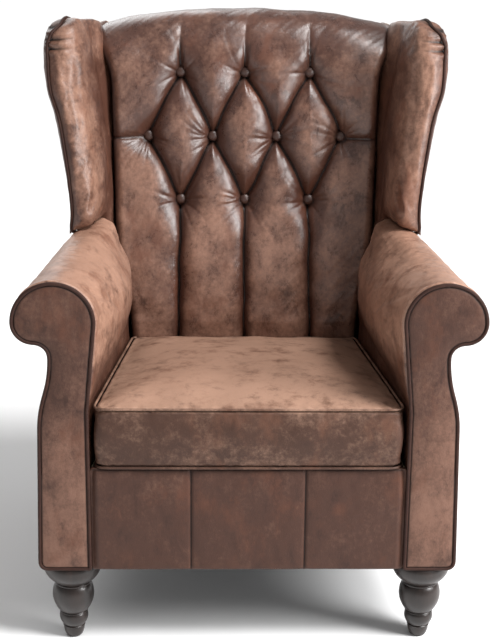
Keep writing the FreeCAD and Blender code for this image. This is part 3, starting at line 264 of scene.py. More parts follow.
def makeLeather(name):
    look = hides[name]
    finish, build, shader = newFinish(name)
    place = build.node("TexCoord", {}, {}, out=3)
    # the two marks painted on each piece: painted shade for creases and recesses, and paleness that is
    # partly wear and partly painted light on tops
    fold = build.node("Attribute", {"attribute_name": "fold"}, {}, out=2)
    rub = build.node("Attribute", {"attribute_name": "rub"}, {}, out=2)

    clouds = cloud(build, place, look["cloud"], 4, 0.58, 0.4)
    mottle = cloud(build, stretched(build, place, look["streak"]), 1.0, 9, 0.72, 0.25)
    speckle = cloud(build, place, 130, 6, 0.75)
    rustClouds = cloud(build, stretched(build, place, (1, 1, 0.6), (3, 1, 2)), look["cloud"] * 1.7, 6, 0.68)
    scuffs = cloud(build, stretched(build, place, (1, 1, 0.35), (7, 2, 5)), 46, 8, 0.8, 1.2)
    nicks = build.node("TexVoronoi", {"feature": "F1"}, {"Vector": place, "Scale": 95}, out=0)

    # paler where the clouds fall and where tops and crowns are marked: partly wear, partly painted light
    paleWearAndLight = (clouds * 0.5 + mottle * 0.7 + rub * 0.62 + speckle * 0.5 - 0.16).between(0.66, 1.24)
    colour = paleWearAndLight.blend((*look["base"], 1), (*look["pale"], 1))
    rusty = rustClouds.between(0.5, 0.72) * 0.75
    colour = rusty.blend(colour, (*look["rust"], 1))
    aged = (1 - mottle).between(0.5, 0.76) * (1 - rub * 0.5) * 0.75
    colour = aged.blend(colour, (*look["dark"], 1))
    scuffed = scuffs.between(0.6, 0.74) * 0.34
    colour = scuffed.blend(colour, (*look["pale"], 1))
    spots = (1 - nicks).between(0.86, 0.97) * speckle.between(0.5, 0.62) * 0.45
    colour = spots.blend(colour, (*look["dark"], 1))
    # painted shade: creases, seams and recesses darkened towards the darkest colour
    colour = fold.between(0.04, 0.95).blend(colour, (*look["creaseShade"], 1))
    connect(colour, shader, "Base Color")

    roughness = look["rough"] + mottle * 0.22 - 0.1 + scuffed * 0.2 + fold * 0.15
    connect(roughness, shader, "Roughness")
    shader.inputs["Coat Weight"].default_value = look["coat"]
    shader.inputs["Coat Roughness"].default_value = 0.38
    shader.inputs["Specular IOR Level"].default_value = look["shine"]

    pores = build.node("TexVoronoi", {"feature": "F1"}, {"Vector": place, "Scale": look["pores"]}, out=0)
    wrinkles = cloud(build, place, 62, 5, 0.6, 0.8)
    grain = pores * 0.35 + speckle * 0.5 + wrinkles * 0.9
    bump = build.node("Bump", {}, {"Strength": 0.55, "Distance": 0.0011, "Height": grain})
    connect(bump, shader, "Normal")
    return finish


def makeWood(name, pale, dark, rough, coat, rings, along=(22, 22, 2.2)):
    finish, build, shader = newFinish(name)
    place = build.node("TexCoord", {}, {}, out=3)
    long = stretched(build, place, along)
    figure = build.node("TexNoise", {}, {"Vector": long, "Scale": rings, "Detail": 8, "Roughness": 0.62,
                                         "Distortion": 0.7})
    fibres = cloud(build, stretched(build, place, (along[0] * 9, along[1] * 9, along[2] * 5)), 1.0, 5, 0.7)
    grain = (figure * 0.75 + fibres * 0.35).between(0.36, 0.74)
    connect(grain.blend((*dark, 1), (*pale, 1)), shader, "Base Color")
    connect(rough + fibres * 0.2 - 0.1, shader, "Roughness")
    shader.inputs["Coat Weight"].default_value = coat
    shader.inputs["Coat Roughness"].default_value = 0.22
    bump = build.node("Bump", {}, {"Strength": 0.35, "Distance": 0.0005, "Height": fibres + figure * 0.4})
    connect(bump, shader, "Normal")
    return finish


def makeWeave(name, pale, dark, pitch, rough=0.9, metal=0.0, depth=0.0006):
    # two sets of threads that pass over and under each other
    finish, build, shader = newFinish(name)
    place = build.node("TexCoord", {}, {}, out=3)
    settings = {"wave_type": "BANDS", "wave_profile": "SIN"}
    crossways = build.node("TexWave", {**settings, "bands_direction": "X"},
                           {"Vector": place, "Scale": pitch, "Distortion": 0.6, "Detail": 2.0})
    upward = build.node("TexWave", {**settings, "bands_direction": "DIAGONAL"},
                        {"Vector": stretched(build, place, (0, 1, 1)), "Scale": pitch, "Distortion": 0.6,
                         "Detail": 2.0})
    slub = cloud(build, place, 85, 5, 0.7)
    threads = crossways * 0.5 + upward * 0.5
    tone = (threads * 0.6 + slub * 0.7).between(0.3, 1.0)
    connect(tone.blend((*dark, 1), (*pale, 1)), shader, "Base Color")
    shader.inputs["Roughness"].default_value = rough
    shader.inputs["Metallic"].default_value = metal
    bump = build.node("Bump", {}, {"Strength": 0.6, "Distance": depth, "Height": threads + slub * 0.5})
    connect(bump, shader, "Normal")
    return finish


def makeMetal(name, pale, dark, rough, streak):
    finish, build, shader = newFinish(name)
    place = build.node("TexCoord", {}, {}, out=3)
    brushed = cloud(build, stretched(build, place, streak), 1.0, 6, 0.7)
    dull = cloud(build, place, 40, 4, 0.6)
    tone = (brushed * 0.5 + dull * 0.5).between(0.35, 0.65)
    connect(tone.blend((*dark, 1), (*pale, 1)), shader, "Base Color")
    connect(rough + dull * 0.25 - 0.1, shader, "Roughness")
    shader.inputs["Metallic"].default_value = 1.0
    bump = build.node("Bump", {}, {"Strength": 0.2, "Distance": 0.0002, "Height": brushed})
    connect(bump, shader, "Normal")
    return finish


def makeFoam(name, pale, dark):
    finish, build, shader = newFinish(name)
    place = build.node("TexCoord", {}, {}, out=3)
    cells = build.node("TexVoronoi", {"feature": "F1"}, {"Vector": place, "Scale": 420}, out=0)
    patches = cloud(build, place, 9, 4, 0.6)
    tone = (patches * 0.7 + cells * 0.5).between(0.3, 0.9)
    connect(tone.blend((*dark, 1), (*pale, 1)), shader, "Base Color")
    shader.inputs["Roughness"].default_value = 0.95
    bump = build.node("Bump", {}, {"Strength": 0.7, "Distance": 0.0012, "Height": cells})
    connect(bump, shader, "Normal")
    return finish


finishes = {name: makeLeather(name) for name in hides}
finishes["legWood"] = makeWood("legWood", (0.022, 0.012, 0.009), (0.007, 0.004, 0.003), 0.36, 0.16, 1.2)
finishes["beech"] = makeWood("beech", (0.62, 0.44, 0.27), (0.43, 0.27, 0.15), 0.6, 0.0, 0.8)
finishes["jute"] = makeWeave("jute", (0.56, 0.42, 0.25), (0.3, 0.2, 0.11), 190)
finishes["deckCloth"] = makeWeave("deckCloth", (0.075, 0.05, 0.04), (0.035, 0.023, 0.019), 320)
finishes["blackCambric"] = makeWeave("blackCambric", (0.03, 0.03, 0.032), (0.012, 0.012, 0.013), 260)
finishes["zipTape"] = makeWeave("zipTape", (0.07, 0.045, 0.035), (0.03, 0.019, 0.015), 420)
finishes["steel"] = makeMetal("steel", (0.55, 0.55, 0.57), (0.33, 0.33, 0.35), 0.34, (260, 30, 260))
finishes["brass"] = makeMetal("brass", (0.62, 0.44, 0.19), (0.36, 0.24, 0.1), 0.3, (300, 60, 300))
finishes["nylon"] = makeFoam("nylon", (0.06, 0.055, 0.05), (0.03, 0.028, 0.026))
finishes["foam"] = makeFoam("foam", (0.78, 0.72, 0.52), (0.62, 0.55, 0.36))

finishOfSlot = {
    "worn_leather": "wornLeather", "cushion_leather": "cushionLeather", "border_leather": "shadedFrontLeather",
    "button_leather": "buttonLeather", "dark_piping_leather": "pipingLeather",
    "dark_turned_wood": "legWood", "frame_hardwood": "beech", "spring_steel": "steel",
    "glide_nylon": "nylon", "jute": "jute", "black_cambric": "blackCambric",
    "upholstery_foam": "foam", "deck_cloth": "deckCloth", "zip_tape": "zipTape", "slider_brass": "brass",
}


def dressFrame():
    # every carried-over piece of the frame gets the finish of its slot
    for part in frame["record"]["subparts"]:
        node = nodes[part["node"]]
        node.data.materials.clear()
        node.data.materials.append(finishes[finishOfSlot[part["material_slot"]]])


dressFrame()
print("materials ready")


# mesh helpers

def deselect():
    if bpy.context.mode != "OBJECT":
        bpy.ops.object.mode_set(mode="OBJECT")
    bpy.ops.object.select_all(action="DESELECT")


def pick(piece):
    deselect()
    piece.select_set(True)
    bpy.context.view_layer.objects.active = piece


def applyModifiers(piece):
    pick(piece)
    for modifier in list(piece.modifiers):
        bpy.ops.object.modifier_apply(modifier=modifier.name)


def faceOutward(piece):
    pick(piece)
    bpy.ops.object.mode_set(mode="EDIT")
    bpy.ops.mesh.select_all(action="SELECT")
    bpy.ops.mesh.normals_make_consistent(inside=False)
    bpy.ops.object.mode_set(mode="OBJECT")


def newPiece(name, mesh):
    piece = bpy.data.objects.new(name, mesh)
    bpy.context.scene.collection.objects.link(piece)
    return piece


def cadCopy(name, *sources):
    # the shapes of some CAD nodes, welded, as one mesh
    bm = bmesh.new()
    for source in sources:
        bm.from_mesh(nodes[source].data)
    bmesh.ops.remove_doubles(bm, verts=bm.verts, dist=0.00002)
    mesh = bpy.data.meshes.new(name)
    bm.to_mesh(mesh)
    bm.free()
    return newPiece(name, mesh)


def spots(piece):
    found = np.empty(len(piece.data.vertices) * 3)
    piece.data.vertices.foreach_get("co", found)
    return found.reshape(-1, 3)


def setSpots(piece, places):
    piece.data.vertices.foreach_set("co", places.ravel())
    piece.data.update()


def outward(piece):
    found = np.empty(len(piece.data.vertices) * 3)
    piece.data.vertex_normals.foreach_get("vector", found)
    return found.reshape(-1, 3)


def paint(piece, name, amounts):
    # a value at each point that the leather reads: one darkens creases, seams and recesses as painted
    # shade, the other makes crowns and tops paler, partly wear and partly painted light
    mark = piece.data.attributes.get(name) or piece.data.attributes.new(name, "FLOAT", "POINT")
    mark.data.foreach_set("value", np.clip(amounts, 0, 1).astype(np.float32))


def easeIn(amount):
    amount = np.clip(amount, 0, 1)
    return amount * amount * (3 - 2 * amount)


def waves(places, size, seed, count=7):
    # smooth uneven bumps from -1 to 1, about this size across
    draws = np.random.default_rng(seed)
    total = np.zeros(len(places))
    for _ in range(count):
        direction = draws.normal(size=3)
        direction /= np.linalg.norm(direction)
        pitch = size * draws.uniform(0.7, 1.5)
        total += np.sin(places @ direction * (2 * math.pi / pitch) + draws.uniform(0, 2 * math.pi))
    return total / count ** 0.5 / 1.5


def gridFaces(rows, columns):
    # the quads of a grid of points, and the points round its rim in order
    number = np.arange(rows * columns).reshape(rows, columns)
    quads = np.column_stack([number[:-1, :-1].ravel(), number[:-1, 1:].ravel(),
                             number[1:, 1:].ravel(), number[1:, :-1].ravel()])
    rim = np.concatenate([number[0, :-1], number[:-1, -1], number[-1, :0:-1], number[:0:-1, 0]])
    return quads, rim


def toLine(flat, start, end):
    # distance from a straight stretch, and how far along it lies, from 0 to 1
    start = np.array(start)
    run = np.array(end) - start
    along = np.clip(((flat - start) @ run) / (run @ run), 0, 1)
    gap = np.linalg.norm(flat - start - along[:, None] * run, axis=1)
    return gap, along


def finishPiece(piece, finish, body, replaced=(), angle=None):
    piece.data.materials.clear()
    piece.data.materials.append(finishes[finish])
    pick(piece)
    if angle is None:
        bpy.ops.object.shade_smooth()
    else:
        bpy.ops.object.shade_smooth_by_angle(angle=math.radians(angle))
    deselect()
    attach(piece, body)
    if replaced:
        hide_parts(*replaced)
    return piece


def mirroredPiece(piece, name):
    # the same piece on the other side of the chair
    mesh = piece.data.copy()
    mesh.transform(Matrix.Scale(-1, 4, (1, 0, 0)))
    mesh.flip_normals()
    return newPiece(name, mesh)


def keepOutside(piece):
    # a remesh can leave closed pockets inside: only the largest skin stays
    bm = bmesh.new()
    bm.from_mesh(piece.data)
    left = set(bm.verts)
    skins = []
    while left:
        skin, edge = set(), [left.pop()]
        while edge:
            vertex = edge.pop()
            skin.add(vertex)
            for link in vertex.link_edges:
                other = link.other_vert(vertex)
                if other in left:
                    left.remove(other)
                    edge.append(other)
        skins.append(skin)
    skins.sort(key=len)
    for skin in skins[:-1]:
        bmesh.ops.delete(bm, geom=list(skin), context="VERTS")
    bm.to_mesh(piece.data)
    bm.free()


def evenQuads(piece, voxel, smoothing):
    remesh = piece.modifiers.new("quads", "REMESH")
    remesh.mode = "VOXEL"
    remesh.voxel_size = voxel
    smooth = piece.modifiers.new("even", "SMOOTH")
    smooth.iterations = smoothing
    applyModifiers(piece)


def softBlank(name, sources, voxel, rounding=4):
    # even quads over the outside of the CAD solids, laid back onto their faces
    piece = cadCopy(name, *sources)
    shape = piece.copy()
    shape.data = piece.data.copy()
    bpy.context.scene.collection.objects.link(shape)
    remesh = piece.modifiers.new("quads", "REMESH")
    remesh.mode = "VOXEL"
    remesh.voxel_size = voxel
    applyModifiers(piece)
    keepOutside(piece)
    smooth = piece.modifiers.new("even", "SMOOTH")
    smooth.iterations = 4
    wrap = piece.modifiers.new("onto", "SHRINKWRAP")
    wrap.target = shape
    soften = piece.modifiers.new("soften", "SMOOTH")
    soften.iterations = rounding
    applyModifiers(piece)
    bpy.data.objects.remove(shape)
    return piece


def nearest(tree, places):
    # distance from each point to a surface
    return np.array([tree.find_nearest(Vector(place))[3] for place in places])


def pipingLine(name, points, radius, closed):
    # a welt: leather sewn round a cord, as a tube along its line
    line = bpy.data.curves.new(name, "CURVE")
    line.dimensions = "3D"
    line.bevel_depth = radius
    line.bevel_resolution = 4
    line.use_fill_caps = True
    spline = line.splines.new("POLY")
    spline.points.add(len(points) - 1)
    for point, spot in zip(spline.points, points):
        point.co = (*spot, 1)
    spline.use_cyclic_u = closed
    welt = newPiece(name, line)
    pick(welt)
    bpy.ops.object.convert(target="MESH")
    return bpy.context.object


def subdivide(piece, levels=1):
    finer = piece.modifiers.new("finer", "SUBSURF")
    finer.levels = levels
    finer.render_levels = levels
    applyModifiers(piece)


def puff(piece, pressure, cap, held, stiffness=18):
    # swells like a stuffed cover: the held points stay, and no point moves further than cap
    before = spots(piece)
    group = piece.vertex_groups.new(name="held")
    for share in (0.25, 0.5, 0.75, 1.0):
        chosen = np.where((held > share - 0.125) & (held <= share + 0.126))[0]
        group.add([int(index) for index in chosen], share, "REPLACE")
    cloth = piece.modifiers.new("cloth", "CLOTH")
    cloth.settings.use_pressure = True
    cloth.settings.uniform_pressure_force = pressure
    cloth.settings.tension_stiffness = stiffness
    cloth.settings.compression_stiffness = stiffness
    cloth.settings.effector_weights.gravity = 0
    cloth.settings.vertex_group_mass = "held"
    cloth.point_cache.frame_start = 1
    cloth.point_cache.frame_end = 20
    for step in range(1, 21):
        bpy.context.scene.frame_set(step)
    applyModifiers(piece)
    bpy.context.scene.frame_set(1)
    piece.vertex_groups.clear()
    moved = spots(piece) - before
    length = np.linalg.norm(moved, axis=1)
    shorter = np.minimum(1, cap / np.maximum(length, 1e-9))
    setSpots(piece, before + moved * shorter[:, None])


# the buttoned back

buttonedBack = {
    "faceFront": 0.558, "faceTop": 0.970, "lap": 0.460, "lean": 0.082, "crown": 0.735,    # depth and height
    "halfWidths": ((0.27, 0.236), (0.46, 0.237), (0.6, 0.268), (0.97, 0.277), (1.056, 0.305), (1.2, 0.308)),
    "crownDrop": 0.034, "edgeRoll": 0.02, "rows": 400, "columns": 236,
    "spacing": 0.1335, "rowHeights": (0.968, 0.838, 0.708),
    "pillow": 0.012, "crease": 0.029, "pit": 0.019, "pitReach": 0.026, "pillowReach": 0.060,
    "wall": 0.045,
}


def buttonPlaces():
    step = buttonedBack["spacing"]
    top, middle, low = buttonedBack["rowHeights"]
    outer = [(step * (number - 1.5), middle) for number in range(4)]
    return [(-step, top), (0, top), (step, top), *outer, (-step, low), (0, low), (step, low)]


def backFolds():
    # the pleats that join the buttons, and those that run on to the edges: start, end, depth at each end
    step = buttonedBack["spacing"]
    top, middle, low = buttonedBack["rowHeights"]
    folds = []
    for column in (-step, 0, step):
        for side in (-step / 2, step / 2):
            folds.append(((column, top), (column + side, middle), 1, 1, 0.006 * np.sign(side)))
            folds.append(((column + side, middle), (column, low), 1, 1, -0.002 * np.sign(side)))
        folds.append(((column, low), (column * 1.06, 0.25), 1, 0.85, 0))
        folds.append(((column, top), (column, 1.075), 0.9, 0.12, 0))
        folds.append(((column + 0.004, top), (column + 0.014, 1.055), 0.45, 0.05, 0))
        folds.append(((column - 0.004, top), (column - 0.013, 1.05), 0.45, 0.05, 0))
    for side in (-1, 1):
        folds.append(((side * step * 1.5, middle), (side * 0.285, middle - 0.003), 0.6, 0.5, 0))
    return folds


def backRelief(flat):
    # how far the leather stands from the face at each (across, up), and how dark the painted shade is in
    # its creases and round its buttons
    shape = buttonedBack
    level = np.column_stack([flat, flat[:, :1] * 0])
    uneven = np.column_stack([waves(level, 0.11, 3), waves(level, 0.12, 4)]) * 0.0022
    bent = flat + uneven
    sink = np.zeros(len(flat))
    dark = np.zeros(len(flat))
    for start, end, first, last, bow in backFolds():
        run = np.array(end) - np.array(start)
        along = toLine(bent, start, end)[1]
        across = np.array([-run[1], run[0]]) / np.linalg.norm(run)
        curved = bent - np.outer(bow * np.sin(math.pi * along), across)
        gap, along = toLine(curved, start, end)
        strength = first + (last - first) * easeIn(along)
        side = (curved - np.array(start)) @ across
        lean = 1 + 0.35 * np.tanh(side / 0.006) * (1 if run[0] > 0 else -1)
        near = gap / (shape["pillowReach"] * np.where(lean > 1, 1.25, 0.85))
        bulge = 1 - np.sqrt(np.clip(1 - (1 - np.clip(near, 0, 1)) ** 2.3, 0, 1))
        sink = np.maximum(sink, shape["crease"] * strength * (0.72 * bulge + 0.28 * np.exp(-gap / 0.0035)))
        # painted shade along each crease
        dark = np.maximum(dark, strength ** 0.5 * np.exp(-(gap / 0.0022) ** 1.5))
    pit = np.zeros(len(flat))
    for number, (x, z) in enumerate(buttonPlaces()):
        away = flat - np.array((x, z))
        reach = np.hypot(away[:, 0], away[:, 1])
        turn = np.arctan2(away[:, 1], away[:, 0])
        draws = np.random.default_rng(40 + number)
        hollow = shape["pit"] * np.exp(-np.clip(reach - 0.009, 0, None) / shape["pitReach"])
        ridges = np.zeros(len(flat))
        for _ in range(11):
            aim = draws.uniform(-math.pi, math.pi)
            width = draws.uniform(0.05, 0.1)
            far = draws.uniform(0.018, 0.044)
            swing = np.angle(np.exp(1j * (turn - aim + draws.uniform(-0.2, 0.2) * reach / 0.05)))
            crease = np.exp(-(swing / width) ** 2) * np.exp(-np.clip(reach - 0.014, 0, None) / far)
            ridges = np.maximum(ridges, crease * draws.uniform(0.5, 1.0))
        pit = np.maximum(pit, hollow + 0.0042 * ridges * (reach > 0.008))
        # painted shade in the hollow round each button and along its little ridges
        dark = np.maximum(dark, 0.62 * np.exp(-np.clip(reach - 0.011, 0, None) / 0.0045))
        dark = np.maximum(dark, 0.2 * ridges)
    return shape["pillow"] - sink - pit, dark


def makeBack():
    shape = buttonedBack
    columns, rows = shape["columns"], shape["rows"]
    slope = shape["lean"] / (shape["faceTop"] - shape["lap"])
    lowEnd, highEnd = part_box("back_cover")
    low, backTop = lowEnd.z, highEnd.z
    crestDepth, crestZ = highEnd.y - faceY - 0.002, backTop - 0.072
    # the side profile, bottom to crest: straight up, then leaning, then over the crown
    faceEnd = np.array((shape["faceFront"] + shape["lean"], shape["faceTop"]))
    peak = np.array((shape["crown"], backTop))
    crest = np.array((crestDepth, crestZ))
    steps = np.linspace(0, 1, 120)[1:, None]

    def arch(a, b, c, d):
        return ((1 - steps) ** 3 * a + 3 * (1 - steps) ** 2 * steps * b
                + 3 * (1 - steps) * steps ** 2 * c + steps ** 3 * d)

    straight = np.linspace((shape["faceFront"], shape["lap"]), faceEnd, 200)
    foot = np.linspace((shape["faceFront"], low), (shape["faceFront"], shape["lap"]), 60)[:-1]
    over = arch(faceEnd, faceEnd + np.array((slope, 1)) * 0.062, peak - (0.062, 0), peak)
    down = arch(peak, peak + (0.062, 0), crest + (-0.022, 0.036), crest)
    profile = np.vstack([foot, straight, over, down])
    lengths = np.concatenate([[0], np.cumsum(np.linalg.norm(np.diff(profile, axis=0), axis=1))])
    marks = np.linspace(0, lengths[-1], rows)
    depth = np.interp(marks, lengths, profile[:, 0])
    height = np.interp(marks, lengths, profile[:, 1])
    tangent = np.column_stack([np.gradient(depth), np.gradient(height)])
    tangent /= np.linalg.norm(tangent, axis=1)[:, None]
    tangentAngle = np.convolve(np.pad(np.unwrap(np.arctan2(tangent[:, 1], tangent[:, 0])), 6, "edge"),
                               np.ones(13) / 13, "valid")
    outDepth, outUp = -np.sin(tangentAngle), np.cos(tangentAngle)
    faceLength = np.interp(shape["faceTop"], height[: int(rows * 0.7)], marks[: int(rows * 0.7)])
    up = np.where(marks < faceLength, height, shape["faceTop"] + marks - faceLength)

    widths = np.array(shape["halfWidths"])
    half = np.interp(up, widths[:, 0], widths[:, 1])
    half = np.convolve(np.pad(half, 12, "edge"), np.ones(25) / 25, "valid")
    across = np.sin(np.linspace(-1, 1, columns) * math.pi / 2 * 0.86) / math.sin(math.pi / 2 * 0.86)
    across = 0.75 * np.linspace(-1, 1, columns) + 0.25 * across
    x = np.outer(half, across)
    flat = np.column_stack([x.ravel(), np.repeat(up, columns)])
    relief, dark = backRelief(flat)
    # the leather rolls back where it meets the wings
    edge = np.clip((np.abs(x) - (half[:, None] - shape["edgeRoll"])) / shape["edgeRoll"], 0, 1).ravel()
    roll = shape["edgeRoll"] * (1 - np.sqrt(np.clip(1 - edge ** 2, 0, 1)))
    body3 = np.column_stack([flat, flat[:, :1] * 0])
    relief = relief + 0.0016 * waves(body3, 0.07, 8) + 0.0004 * waves(body3, 0.018, 9)
    fade = easeIn((lengths[-1] - np.repeat(marks, columns)) / 0.09)
    drop = 0.004 + shape["crownDrop"] * (np.abs(flat[:, 0]) / 0.305) ** 2.4
    lift = np.clip((np.repeat(height, columns) - shape["faceTop"]) / (backTop - shape["faceTop"]), 0, 1)
    # the crown is stuffed less than the face
    relief = relief - shape["pillow"] * 0.85 * easeIn(lift * 1.3)
    relief = relief * fade * easeIn((up - low).repeat(columns) / 0.06 + 0.3) - roll
    y = faceY + np.repeat(depth, columns) + np.repeat(outDepth, columns) * relief
    z = np.repeat(height, columns) + np.repeat(outUp, columns) * relief - drop * lift
    front = np.column_stack([flat[:, 0], y, z])

    quads, rim = gridFaces(rows, columns)
    # the rim goes in and back to a hidden wall, closed behind by a fan
    inner = front[rim] * (0.985, 1, 1) + (0, shape["wall"], 0)
    inner[:, 2] = np.minimum(inner[:, 2], backTop - 0.075)
    inner[:, 1] = np.minimum(inner[:, 1], faceY + crestDepth)
    hub = np.array([[0, faceY + 0.7, 0.7]])
    places = np.vstack([front, inner, hub])
    first = len(front)
    around = np.arange(len(rim))
    following = np.roll(around, -1)
    walls = np.column_stack([rim[following], rim, first + around, first + following])
    fan = np.column_stack([first + following, first + around, np.full(len(rim), len(places) - 1)])
    mesh = bpy.data.meshes.new("back_leather")
    mesh.from_pydata(places.tolist(), [], quads.tolist() + walls.tolist() + fan.tolist())
    back = newPiece("back_leather", mesh)
    # paler on the raised pillows and less so up the crown: partly wear, partly painted light
    rub = np.zeros(len(places))
    rub[:first] = easeIn((relief + 0.002) / 0.014) * 0.42 * (1 - 0.35 * easeIn((flat[:, 1] - 0.75) / 0.2))
    # painted shade in the creases, round the buttons and where the edge rolls back to the wings
    paintedBackShade = np.zeros(len(places))
    paintedBackShade[:first] = np.maximum(dark * fade, 0.75 * edge ** 3)
    paint(back, "fold", paintedBackShade)
    paint(back, "rub", rub)
    return finishPiece(back, "backLeather", "chair", ("back_cover", "back_pad"))


def faceAt(height):
    shape = buttonedBack
    slope = shape["lean"] / (shape["faceTop"] - shape["lap"])
    return faceY + shape["faceFront"] + slope * max(0, height - shape["lap"])


buttons = {"radius": 0.0112, "thickness": 0.0068, "sunk": 0.0225}


def makeButtons():
    slope = math.atan(buttonedBack["lean"] / (buttonedBack["faceTop"] - buttonedBack["lap"]))
    for number, (x, z) in enumerate(buttonPlaces(), start=1):
        deselect()
        centre = (x, faceAt(z) + buttons["sunk"], z)
        bpy.ops.mesh.primitive_uv_sphere_add(segments=40, ring_count=20, radius=buttons["radius"],
                                             location=centre, rotation=(math.pi / 2 - slope, 0, 0))
        button = bpy.context.object
        button.name = f"tuft_button_{number}"
        bpy.ops.object.transform_apply(location=False, rotation=False, scale=False)
        bpy.ops.object.mode_set(mode="EDIT")
        bpy.ops.mesh.select_all(action="SELECT")
        bpy.ops.transform.resize(value=(1, 1, buttons["thickness"] / buttons["radius"]),
                                 orient_type="LOCAL", center_override=centre)
        bpy.ops.object.mode_set(mode="OBJECT")
        bpy.ops.object.transform_apply(location=True, rotation=True, scale=True)
        places = spots(button)
        away = np.linalg.norm(places - np.array(centre), axis=1)
        # painted shade round the rim where the button sinks into the leather
        paint(button, "fold", 0.5 * easeIn((away - buttons["radius"] * 0.8) / 0.003))
        replaced = ("tuft_buttons",) if number == 1 else ()
        finishPiece(button, "buttonLeather", "chair", replaced)


makeBack()
makeButtons()
print("buttoned back made")


# arms, wings and their facings

arms = {
    "voxel": 0.0045, "pressure": 3.0, "cap": 0.004,
    "bulge": 0.030, "bulgeEnd": 0.60, "bulgeLow": 0.472, "bulgeHigh": 0.61, "shoulder": 0.018,
}


def shapeArm(places):
    # the stuffing bellies in over the cushion, and the top falls off towards the back
    x, depth, z = places[:, 0], places[:, 1] - faceY, places[:, 2]
    middle = 0.335 - 0.075 * np.clip(depth / 0.56, 0, 1)
    within = easeIn((middle - x) / 0.04 + 0.4)
    along = np.sin(math.pi * np.clip(depth / arms["bulgeEnd"], 0, 1)) ** 0.9
    window = easeIn((z - arms["bulgeLow"]) / 0.075) * (1 - easeIn((z - arms["bulgeHigh"]) / 0.085))
    bent = places.copy()
    bent[:, 0] -= arms["bulge"] * along * window * within
    fall = easeIn((depth - 0.2) / 0.25)
    rounded = easeIn((z - 0.585) / 0.06) * (1 - easeIn((z - 0.67) / 0.04))
    bent[:, 0] += arms["shoulder"] * fall * rounded * within
    return bent


def makeArms():
    sources = ("left_arm_cover", "left_arm_pad", "left_arm_rail", "left_arm_scroll_board")
    arm = softBlank("left_arm_leather", sources, arms["voxel"])
    places = shapeArm(spots(arm))
    setSpots(arm, places)
    frontY, rearY = places[:, 1].min(), places[:, 1].max()
    held = np.maximum(1 - easeIn((places[:, 1] - frontY - 0.004) / 0.03),
                      1 - easeIn((rearY - places[:, 1] - 0.004) / 0.04))
    held = np.maximum(held, 1 - easeIn((places[:, 2] - 0.40) / 0.1))
    setSpots(arm, places - outward(arm) * ((1 - held) * 0.003)[:, None])
    puff(arm, arms["pressure"], arms["cap"], held)
    subdivide(arm)
    places = spots(arm)
    ripple = 0.0011 * waves(places, 0.075, 21) + 0.0004 * waves(places, 0.022, 22)
    # fine wrinkles run across the top where the arm is sat against
    across = waves(places * (0.35, 1, 0.35), 0.013, 23) * easeIn(waves(places, 0.09, 24) + 0.3)
    free = easeIn((places[:, 1] - frontY) / 0.02)
    high = easeIn((places[:, 2] - 0.5) / 0.08)
    setSpots(arm, places + outward(arm) * ((ripple + 0.00035 * across * high) * free)[:, None])
    places = spots(arm)
    # paler on the top and the inner face: partly wear, partly painted light on the faces turned to the
    # lamps
    facingUp = outward(arm)[:, 2]
    inner = easeIn((0.34 - places[:, 0]) / 0.05)
    crown = easeIn((places[:, 2] - 0.50) / 0.12) * np.maximum(easeIn(facingUp * 1.4), 0.8 * inner)
    paint(arm, "rub", crown * 0.8)
    # painted shade along the front edge, where the arm tucks behind the facing
    paint(arm, "fold", 0.6 * easeIn(1 - (places[:, 1] - frontY) / 0.0025))
    other = mirroredPiece(arm, "right_arm_leather")
    for side, piece in (("left", arm), ("right", other)):
        replaced = (f"{side}_arm_cover", f"{side}_arm_pad")
        finishPiece(piece, "wornLeather", "chair", replaced)


makeArms()
print("arms made")

wings = {
    "voxel": 0.0045, "pressure": 2.5, "cap": 0.005, "pleatDepth": 0.0055, "pleatWidth": 0.005,
    "pleats": (((0.400, 1.068), (0.347, 1.089)), ((0.402, 1.050), (0.343, 1.056)),
               ((0.403, 1.034), (0.350, 1.037))),
    "cornerDrop": 0.03, "cornerStart": 0.35, "roll": 0.023, "welt": 0.0032, "weltLow": 0.645,
    # how much wider or narrower the outer edge stands at some heights
    "edge": ((0.64, 0.003), (0.78, 0.0), (0.85, -0.004), (0.92, -0.006), (0.97, 0.0), (1.01, 0.008),
             (1.05, 0.012), (1.1, 0.012)),
}


def shapeWing(places):
    # the top outer corner is rounded off, and the shoulder below it is a little fuller
    x, depth, z = places[:, 0], places[:, 1] - faceY, places[:, 2]
    outer = np.clip((x - wings["cornerStart"]) / 0.048, 0, 1.1)
    bent = places.copy()
    bent[:, 2] -= wings["cornerDrop"] * outer ** 2.4 * easeIn((z - 0.95) / 0.13)
    edge = np.array(wings["edge"])
    bent[:, 0] += np.interp(z, edge[:, 0], edge[:, 1]) * easeIn((x - 0.33) / 0.06)
    # the front and inside are one fat roll
    inner = np.clip((x - 0.272) / 0.12, 0, 1)
    front = easeIn((0.64 - depth) / 0.1) * np.sin(math.pi * inner) ** 0.7
    high = easeIn((z - 0.66) / 0.06) * (1 - 0.5 * easeIn((z - 1.02) / 0.07))
    bent[:, 0] -= wings["roll"] * 0.5 * front * high
    bent[:, 1] -= wings["roll"] * 0.75 * front * high
    # its top closes against the crown of the back
    close = easeIn((depth - 0.6) / 0.06) * easeIn((z - 1.0) / 0.04) * easeIn((0.35 - x) / 0.04)
    bent[:, 2] += 0.006 * close
    bent[:, 0] -= 0.004 * close
    # it runs down onto the arm
    bent[:, 2] -= 0.04 * (1 - easeIn((z - z.min()) / 0.045)) * easeIn((0.64 - depth) / 0.06)
    return bent


